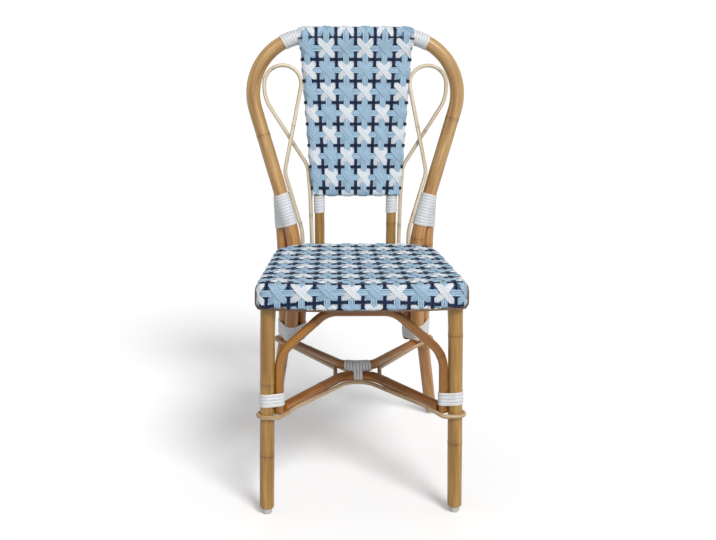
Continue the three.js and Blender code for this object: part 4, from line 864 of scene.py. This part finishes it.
def plain(name, color, roughness, scale=90.0, spread=0.06, metal=0.0):
    """Moulded plastic or drawn wire: one colour with faint clouding."""
    shader = Shader(name)
    cloud = shader.noise(shader.place(), scale, 4.0)
    tone = shader.mix(cloud, shade(color, 1 - spread), shade(color, 1 + spread))
    rough = roughness - 0.07 + cloud * 0.14
    return shader.finish(tone, rough, cloud, 0.12, 0.0002, Metallic=metal)


# Each finish: what makes it, its colours among the chair's, and its other values in the maker's order
FINISHES = {
    # rattan_light's last value darkens and reddens its poles under the seat: painted shade and a redder
    # tone
    "rattan_light": (rattan, ("rattan", "rattan_dark"), (0.34, (1.0, 0.80, 0.62))),
    "rattan_olive": (rattan, ("rattan_olive", "rattan_olive_dark"), (0.40,)),
    "rattan_arch": (rattan, ("arch", "arch_dark"), (0.38,)),
    "rattan_red": (rattan, ("rattan_red", "rattan_red_dark"), (0.36,)),
    "cane_pale": (rattan, ("cane", "cane_dark"), (0.46,)),
    "cane_red": (rattan, ("cane_red", "cane_red_dark"), (0.46,)),
    "trim": (rattan, ("trim",), (None, 0.5)),
    "binding_strand": (binding_finish, ("binding", "binding_cream"), ()),
    "strand_blue": (strand, ("blue",), ()),
    "strand_navy": (strand, ("navy",), (0.4, 0.16)),
    "strand_white": (strand, ("white",), (0.44, 0.04)),
    "lining": (strand, ("lining",), (0.6, 0.2)),
    "glide": (plain, ("glide",), (0.42,)),
    "nail_steel": (plain, (), ((0.4, 0.4, 0.4), 0.38, 300.0, 0.15, 1.0)),
}


def material(name):
    """A finish by its name, made on first use from the chair's colours."""
    if name not in bpy.data.materials:
        maker, keys, values = FINISHES[name]
        look = bpy.context.scene.chair_look
        maker(name, *(linear(getattr(look, key)) for key in keys), *values)
    return bpy.data.materials[name]


# ---- sizes and colours a user may change


def length_of(name, description, default):
    return FloatProperty(name=name, description=description, default=default, unit="LENGTH")


def color_of(name, description, default):
    return FloatVectorProperty(name=name, description=description, default=default, subtype="COLOR",
                               size=3, min=0, max=1)


class ChairSizes(bpy.types.PropertyGroup):
    """Sizes of the round pieces, in metres."""

    hoop: length_of("Hoop radius", "Half the thickness of the back hoop", 0.015)
    front_leg: length_of("Front leg radius", "Half the thickness of a front leg", 0.014)
    rear_leg: length_of("Rear leg radius", "Half the thickness of a rear leg", 0.0136)
    arch: length_of("Arch radius", "Half the thickness of the rear arch and stretcher bows", 0.010)
    front_arch: length_of("Front arch radius", "Half the thickness of the front arch", 0.0087)
    upright: length_of("Upright radius", "Half the thickness of a back upright", 0.0105)
    cane: length_of("Cane radius", "Half the thickness of the ribbon and stretcher canes", 0.0042)
    strip: length_of("Binding strand", "Width of the wound strand", 0.0062)
    knuckles: length_of("Knuckle spacing", "Usual distance between knuckles of a pole", 0.215)
    steps: IntProperty(name="Steps per cell", description="Points of a strand between two crossings",
                       default=12, min=6, max=24)


class ChairLook(bpy.types.PropertyGroup):
    """Colours of the finishes, as seen."""

    rattan: color_of("Rattan", "Back hoop and rear legs", (0.755, 0.62, 0.41))
    rattan_dark: color_of("Rattan shade", "Darker growth on the hoop", (0.635, 0.465, 0.265))
    rattan_olive: color_of("Leg rattan", "Front legs and uprights", (0.675, 0.52, 0.265))
    rattan_olive_dark: color_of("Leg rattan shade", "Darker growth on the legs", (0.58, 0.418, 0.19))
    arch: color_of("Front arch", "Arch between the front legs", (0.65, 0.44, 0.17))
    arch_dark: color_of("Front arch shade", "Darker growth on the front arch", (0.485, 0.295, 0.095))
    rattan_red: color_of("Red rattan", "Rear arch and stretcher bows", (0.67, 0.44, 0.155))
    rattan_red_dark: color_of("Red rattan shade", "Darker growth on the arches", (0.51, 0.285, 0.085))
    cane: color_of("Cane", "Ribbon canes of the back", (0.88, 0.825, 0.735))
    cane_dark: color_of("Cane shade", "Darker growth on the ribbon canes", (0.77, 0.69, 0.585))
    cane_red: color_of("Red cane", "Canes of the stretcher", (0.79, 0.69, 0.545))
    cane_red_dark: color_of("Red cane shade", "Darker growth on the stretcher canes", (0.67, 0.545, 0.39))
    trim: color_of("Trim", "Thin cane round the front apron", (0.45, 0.34, 0.24))
    binding: color_of("Binding", "Wound strand", (0.85, 0.86, 0.875))
    binding_cream: color_of("Binding ends", "First and last turns", (0.85, 0.835, 0.80))
    blue: color_of("Blue", "Light blue strands", (0.645, 0.757, 0.84))
    navy: color_of("Navy", "Dark strands", (0.005, 0.11, 0.25))
    white: color_of("White", "White strands", (0.89, 0.91, 0.93))
    # Painted shade: the lining's colour is the light blue of the strands as seen in the shade behind the
    # weave
    lining: color_of("Lining", "Inner side of the weave", (0.40, 0.51, 0.62))
    glide: color_of("Glides", "Plastic glides", (0.77, 0.76, 0.735))


# ---- stage

PHOTO_WIDTH, FOCAL_PIXELS, SENSOR = 716, 1331.17, 36
# The camera's place from the front legs, in metres, and how it is turned, in radians
CAMERA_X, CAMERA_Y, CAMERA_Z = -0.0910, -2.3989, 1.0819
YAW, PITCH, ROLL = 0.0346, 0.2438, 0.0052


def make_camera():
    """The camera at the photograph's place: turned 2 degrees to the right, 14 degrees down, and rolled
    a third of a degree."""
    ahead = Vector((math.sin(YAW) * math.cos(PITCH), math.cos(YAW) * math.cos(PITCH), -math.sin(PITCH)))
    level = Vector((math.cos(YAW), -math.sin(YAW), 0))
    up = level.cross(ahead)
    right = level * math.cos(ROLL) + up * math.sin(ROLL)
    over = up * math.cos(ROLL) - level * math.sin(ROLL)
    data = bpy.data.cameras.new("camera")
    data.sensor_width, data.lens = SENSOR, SENSOR * FOCAL_PIXELS / PHOTO_WIDTH
    camera = bpy.context.scene.camera = linked("camera", data)
    turn = Matrix((right, over, -ahead)).transposed().to_4x4()
    camera.matrix_world = Matrix.Translation((CAMERA_X, ORIGIN_Y + CAMERA_Y, CAMERA_Z)) @ turn


def make_floor():
    """A pale sheet of floor, wide enough to fill the picture. It is white to the camera and in
    reflections, and grey where it lights the chair."""
    across, along = np.meshgrid(np.linspace(-30, 30, 13), np.linspace(-20, 40, 13), indexing="ij")
    points = np.stack([across, along, 0 * across], -1).reshape(-1, 3)
    i, j = np.meshgrid(np.arange(12) * 13, np.arange(12), indexing="ij")
    quads = (i + j)[..., None] + np.array([0, 13, 14, 1])
    mesh = bpy.data.meshes.new("floor")
    mesh.from_pydata(points.tolist(), [], quads.reshape(-1, 4).tolist())
    floor = linked("floor", mesh)
    shader = Shader("floor")
    seen = shader.node("ShaderNodeLightPath", output="Is Camera Ray")
    for ray in ("Is Glossy Ray", "Is Transmission Ray"):
        seen = seen + shader.node("ShaderNodeLightPath", output=ray)
    tone = shader.mix(seen, (0.5, 0.5, 0.5), (1.0, 1.0, 1.0))
    mesh.materials.append(shader.finish(tone, 0.9, Specular_IOR_Level=0.0, Emission_Strength=1.0))
    shader.join(shader.bsdf.inputs["Emission Color"], shader.mix(seen, (0, 0, 0), (0.10, 0.10, 0.10)))


def make_world(strength):
    """Even white light from all sides."""
    world = bpy.data.worlds.new("studio")
    bpy.context.scene.world = world
    world.use_nodes = True
    back = world.node_tree.nodes["Background"]
    back.inputs["Color"].default_value = (1, 1, 1, 1)
    back.inputs["Strength"].default_value = strength


def make_sun(name, way, angle, strength):
    """A soft far lamp: `way` points to it from the chair."""
    data = bpy.data.lights.new(name, "SUN")
    data.angle, data.energy = math.radians(angle), strength
    lamp = linked(name, data)
    lamp.rotation_mode = "QUATERNION"
    lamp.rotation_quaternion = Vector(way).to_track_quat("Z", "Y")
    lamp.location = Vector(way) * 3


# ---- operators


class ChairOperator:
    """What the operators share: each can be undone."""

    bl_options = {"REGISTER", "UNDO"}


class CHAIR_OT_stage(ChairOperator, bpy.types.Operator):
    """Makes the camera, the floor, the lamps and the world"""

    bl_idname = "chair.stage"
    bl_label = "Stage"

    def execute(self, context):
        context.scene.view_settings.view_transform = "Standard"
        make_camera()
        make_floor()
        make_world(strength=0.45)
        make_sun("key", (0.42, -0.92, 1.0), angle=20, strength=2.0)
        make_sun("front", (0.3, -1.0, 0.25), angle=60, strength=0.6)
        return {"FINISHED"}


class CHAIR_OT_poles(ChairOperator, bpy.types.Operator):
    """Makes the back hoop, the legs, the uprights and the rail between them"""

    bl_idname = "chair.poles"
    bl_label = "Frame poles"

    def execute(self, context):
        sizes = context.scene.chair_sizes
        light, olive = material("rattan_light"), material("rattan_olive")
        spacing = {"spacing": sizes.knuckles / MM}
        pole_piece("back_hoop", bent_path(*HOOP), sizes.hoop / MM, Y, light, 3,
                   knuckles=HOOP_KNUCKLES, sides=36)
        for n, (side, label) in enumerate(SIDES):
            front, rear, upright = (mirrored(bent_path(*route), side)
                                    for route in (FRONT_LEG, REAR_LEG, UPRIGHT))
            pole_piece(f"front_leg_{label}", front, sizes.front_leg / MM, Y, olive, 11 + n,
                       knuckles=LEG_KNUCKLES[n], sides=32, edge=1.8, flare=1.7)
            pole_piece(f"rear_leg_{label}", rear, sizes.rear_leg / MM, X, light, 21 + n,
                       sides=32, edge=1.8, **spacing)
            pole_piece(f"back_upright_{label}", upright, sizes.upright / MM, X, olive, 31 + n,
                       **spacing)
        pole_piece("back_rail", bent_path(*BACK_RAIL), BACK_RAIL_RADIUS, Y, light, 35, **spacing)
        return {"FINISHED"}


class CHAIR_OT_arches(ChairOperator, bpy.types.Operator):
    """Makes the two arches under the seat and the two stretcher bows"""

    bl_idname = "chair.arches"
    bl_label = "Arches and bows"

    def execute(self, context):
        sizes = context.scene.chair_sizes
        rows = (("front_arch", FRONT_ARCH, sizes.front_arch, Y, "rattan_arch"),
                ("rear_arch", REAR_ARCH, sizes.arch, Y, "rattan_red"),
                ("front_stretcher_bow", FRONT_BOW, sizes.arch, Z, "rattan_red"),
                ("rear_stretcher_bow", REAR_BOW, sizes.arch, Z, "rattan_red"))
        for n, (name, route, radius, reference, finish) in enumerate(rows):
            pole_piece(name, bent_path(*route), radius / MM, reference, material(finish), 41 + n,
                       spacing=sizes.knuckles / MM, edge=0.9)
        return {"FINISHED"}


class CHAIR_OT_seat_frame(ChairOperator, bpy.types.Operator):
    """Makes the rails and bearers under the woven seat"""

    bl_idname = "chair.seat_frame"
    bl_label = "Seat frame"

    def execute(self, context):
        red = material("rattan_red")
        options = {"spacing": context.scene.chair_sizes.knuckles / MM, "sides": 20}
        for n, (label, (inset, drop, radius)) in enumerate(RAILS.items()):
            x = np.linspace(-FRONT_RAIL_END, FRONT_RAIL_END, 13)
            y = inset - SEAT_BOW * (1 - (x / (SEAT_HALF_WIDTH - inset)) ** 2)
            start_x = SEAT_HALF_WIDTH - START_FACTOR * inset - RAIL_SLOPE * (REAR_RAIL_START - inset)
            corners = [(-start_x, REAR_RAIL_START, -drop),
                       (BEND_FACTOR * inset - SEAT_REAR_HALF_WIDTH, SEAT_DEPTH - inset, -drop)]
            rear = bent_path(*both_halves(corners, [REAR_CORNER_RADIUS - inset]))
            for kind, path in (("front", np.stack([x, y, 0 * x - drop], -1)), ("rear", rear)):
                pole_piece(f"seat_{kind}_rail_{label}", seat_world(path), radius, Z, red, 51 + n,
                           **options)
        for n, (side, label) in enumerate(SIDES):
            pole_piece(f"seat_bearer_{label}", mirrored(bent_path(*BEARER), side), BEARER_RADIUS, Z,
                       red, 57 + n, **options)
        return {"FINISHED"}


class CHAIR_OT_canes(ChairOperator, bpy.types.Operator):
    """Makes the ribbon canes of the back and the canes of the stretcher"""

    bl_idname = "chair.canes"
    bl_label = "Canes"

    def execute(self, context):
        pale, red = material("cane_pale"), material("cane_red")
        radius = context.scene.chair_sizes.cane / MM
        options = {"spacing": 165.0, "sides": 16, "edge": 0.8, "swell": 0.22, "slot": "cane"}
        for n, (side, label) in enumerate(SIDES):
            ribbon, cane = (mirrored(bent_path(*route), side) for route in (RIBBON, SIDE_CANE))
            pole_piece(f"ribbon_cane_{label}", ribbon, radius, Y, pale, 61 + n, **options)
            pole_piece(f"stretcher_cane_{label}", cane, radius, Z, red, 65 + n, **options)
        pole_piece("stretcher_cane_front", bent_path(*FRONT_CANE), radius, Z, red, 67, **options)
        pole_piece("stretcher_cane_rear", bent_path(*REAR_CANE), radius, Z, red, 68, **options)
        return {"FINISHED"}


class CHAIR_OT_trim(ChairOperator, bpy.types.Operator):
    """Makes the thin cane along the bottom of the front apron, round its two corners and up its ends"""

    bl_idname = "chair.trim"
    bl_label = "Trim"

    def execute(self, context):
        # It hangs 1.4 mm under the apron's height and 0.4 mm outside its face
        core, out = front_edge(np.linspace(0, FRONT_ALONG[-1] - 4, 60))
        fall = APRON + 1.4
        bottom = np.concatenate([core + (SEAT_EDGE + 0.4) * out, np.full((60, 1), -fall)], -1)
        end = bent_path([(193.2, 28, -5.5), (198.2, 9.5, -9.5), (198.4, 7.5, -fall), bottom[-1]],
                        [14, APRON_CORNER], 0.1)
        half = np.concatenate([end[:-1], bottom[::-1]])
        path = np.concatenate([mirrored(half, -1)[:-1], half[::-1]])
        build = Build()
        add_pole(build, seat_world(path), TRIM_RADIUS, np.array([0.3, 1.0, 0.2]), 71, spacing=150,
                 sides=12, edge=0.6, swell=0.1)
        build.finish("seat_trim", material("trim"), "seat_trim_cane", "cane")
        return {"FINISHED"}


class CHAIR_OT_bindings(ChairOperator, bpy.types.Operator):
    """Makes the strands wound round the joints"""

    bl_idname = "chair.bindings"
    bl_label = "Bindings"

    def execute(self, context):
        sizes = context.scene.chair_sizes
        white = material("binding_strand")
        # Each binding: the pole it climbs along and from where to where, its turns, the strand's width,
        # the poles it holds, and the direction its angles count from
        jobs = {
            "hoop_top": ("hoop", (701.8, 742), 7, 5.9, ("hoop",), Z),
            "back_leg": ("hoop", (279.9, 349.3), 11, 6.4, ("hoop", "rear_leg"), X),
            "upright": ("upright", (104.2, 141), 6, 6.2, ("upright",), X),
            "front_leg": ("front_leg", (211.4, 237.4), 4, 6.5, ("front_leg", "front_arch"), X),
            "rear_leg": ("hoop", (5.1, 40.1), 6, 5.9, ("hoop", "rear_leg", "rear_arch"), X),
        }
        routes = {"hoop": (HOOP, sizes.hoop), "rear_leg": (REAR_LEG, sizes.rear_leg),
                  "front_leg": (FRONT_LEG, sizes.front_leg), "upright": (UPRIGHT, sizes.upright),
                  "front_arch": (FRONT_ARCH, sizes.front_arch), "rear_arch": (REAR_ARCH, sizes.arch)}
        for side, label in SIDES:
            pole = {}
            for key, (route, radius) in routes.items():
                path = bent_path(*route)
                if key in ("rear_leg", "front_leg", "upright"):
                    path = mirrored(path, side)
                elif key == "hoop":
                    path = mirrored(path[:len(path) // 2 + 1], -side)
                else:
                    path = path[::-side][:len(path) // 2]
                pole[key] = (path, radius / MM)
            for name, (guide, span, turns, wide, held, reference) in jobs.items():
                build = Build()
                add_winding(build, pole[guide][0], span, turns, wide * (sizes.strip / MM) / STRIP_WIDTH,
                            [pole[key] for key in held], Y - 0.3 * Z, reference)
                node = f"binding_{name}_{label}"
                build.finish(node + "_strand", white, node, "binding")
        rear, front = bent_path(*REAR_BOW), bent_path(*FRONT_BOW)
        middle = distances(rear)[-1] / 2
        build = Build()
        add_winding(build, rear, (middle - CAP_HALF_LENGTH, middle + CAP_HALF_LENGTH), CAP_TURNS,
                    CAP_WIDTH, [(rear, CAP_RADIUS), (front, CAP_RADIUS)], Y, Y, steady=0.15,
                    shared=CAP_SHARED)
        build.finish("binding_stretcher_strand", white, "binding_stretcher", "binding")
        return {"FINISHED"}


class CHAIR_OT_seat(ChairOperator, bpy.types.Operator):
    """Makes the woven seat, strand by strand, and its lining"""

    bl_idname = "chair.seat"
    bl_label = "Seat weave"

    def execute(self, context):
        step = 1 / context.scene.chair_sizes.steps
        finish_weave("seat_weave", weave(seat_surface, 1, (-6, 6), (-1, 12), 1, step, -1, 0))
        core, out = seat_outline()
        # Rings from a point in the middle to the edge of the flat top, then over it and down
        middle = np.array([0, 190.0])
        past = np.concatenate([np.linspace(1.5, FOLD_END, 7), np.linspace(14, ROLL_START + 5, 10)])
        share = np.concatenate([np.linspace(0, 1, 14), np.ones(len(past))])
        beyond = np.concatenate([np.zeros(14), past])
        inner = middle + (core[None] - middle) * share[:, None, None]
        size = inner.shape[:2]
        sheet = fold_down(inner, np.broadcast_to(out, inner.shape),
                          np.broadcast_to(beyond[:, None], size), np.full(size, SEAT_LINING))
        lining_sheet("seat_lining", seat_world(sheet), True, "seat_weave")
        return {"FINISHED"}


class CHAIR_OT_panel(ChairOperator, bpy.types.Operator):
    """Makes the woven back panel, strand by strand, and its lining"""

    bl_idname = "chair.panel"
    bl_label = "Back weave"

    def execute(self, context):
        step = 1 / context.scene.chair_sizes.steps
        finish_weave("back_panel_weave", weave(panel_surface, -1, (-3, 3), (-9, 8), 0, step, 1))
        u, v = np.linspace(-3, 3, 61), np.linspace(-8.32, 7.32, 150)
        sheet = panel_surface(u[None, :], v[:, None], PANEL_LINING)[0]
        lining_sheet("back_panel_lining", sheet, False, "back_panel_weave")
        return {"FINISHED"}


class CHAIR_OT_feet(ChairOperator, bpy.types.Operator):
    """Makes the glides: a disc with a rounded rim under each leg, turned from a profile"""

    bl_idname = "chair.feet"
    bl_label = "Glides"

    def execute(self, context):
        sides = 40
        angle = np.arange(sides) * 2 * math.pi / sides
        ring = circle(angle)
        for end, (x, y) in FEET.items():
            for side, label in SIDES:
                flat = GLIDE_PROFILE[:, None, :1] * ring[None] + np.array([side * x, y])
                points = np.concatenate([flat, np.repeat(GLIDE_PROFILE[:, None, 1:], sides, 1)], -1)
                build = Build()
                build.grid(placed(points), np.linspace(0, 1, len(points)), np.arange(sides) / sides,
                           capped=False)
                node = f"foot_glide_{end}_{label}"
                piece = build.finish(node + "_disc", material("glide"), node, "plastic")
                piece.modifiers.new("Weld", "WELD").merge_threshold = WELD
        return {"FINISHED"}


class CHAIR_OT_nails(ChairOperator, bpy.types.Operator):
    """Gives the nails, which keep their own shape, the steel finish"""

    bl_idname = "chair.nails"
    bl_label = "Nails"

    def execute(self, context):
        nails = [node for name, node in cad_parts.items() if "nail" in name]
        if not nails:
            raise RuntimeError("The frame holds no nails")
        for nail in nails:
            nail.data.materials.clear()
            nail.data.materials.append(material("nail_steel"))
        return {"FINISHED"}


OPERATORS = [CHAIR_OT_stage, CHAIR_OT_poles, CHAIR_OT_arches, CHAIR_OT_seat_frame, CHAIR_OT_canes,
             CHAIR_OT_trim, CHAIR_OT_bindings, CHAIR_OT_seat, CHAIR_OT_panel, CHAIR_OT_feet,
             CHAIR_OT_nails]


class CHAIR_PT_panel(bpy.types.Panel):
    """Lists the chair's sizes, colours and pieces."""

    bl_label = "Rattan chair"
    bl_idname = "CHAIR_PT_panel"
    bl_space_type = "VIEW_3D"
    bl_region_type = "UI"
    bl_category = "Chair"

    def draw(self, context):
        for group in (context.scene.chair_sizes, context.scene.chair_look):
            for key in group.__annotations__:
                self.layout.prop(group, key)
        for operator in OPERATORS:
            self.layout.operator(operator.bl_idname)


CLASSES = [ChairSizes, ChairLook, *OPERATORS, CHAIR_PT_panel]


def register():
    for cls in CLASSES:
        bpy.utils.register_class(cls)
    bpy.types.Scene.chair_sizes = PointerProperty(type=ChairSizes)
    bpy.types.Scene.chair_look = PointerProperty(type=ChairLook)


def unregister():
    del bpy.types.Scene.chair_look
    del bpy.types.Scene.chair_sizes
    for cls in reversed(CLASSES):
        bpy.utils.unregister_class(cls)


def main():
    """Registers the classes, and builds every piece."""
    register()
    for operator in OPERATORS:
        getattr(bpy.ops.chair, operator.bl_idname.split(".")[1])()


if __name__ == "__main__":
    main()
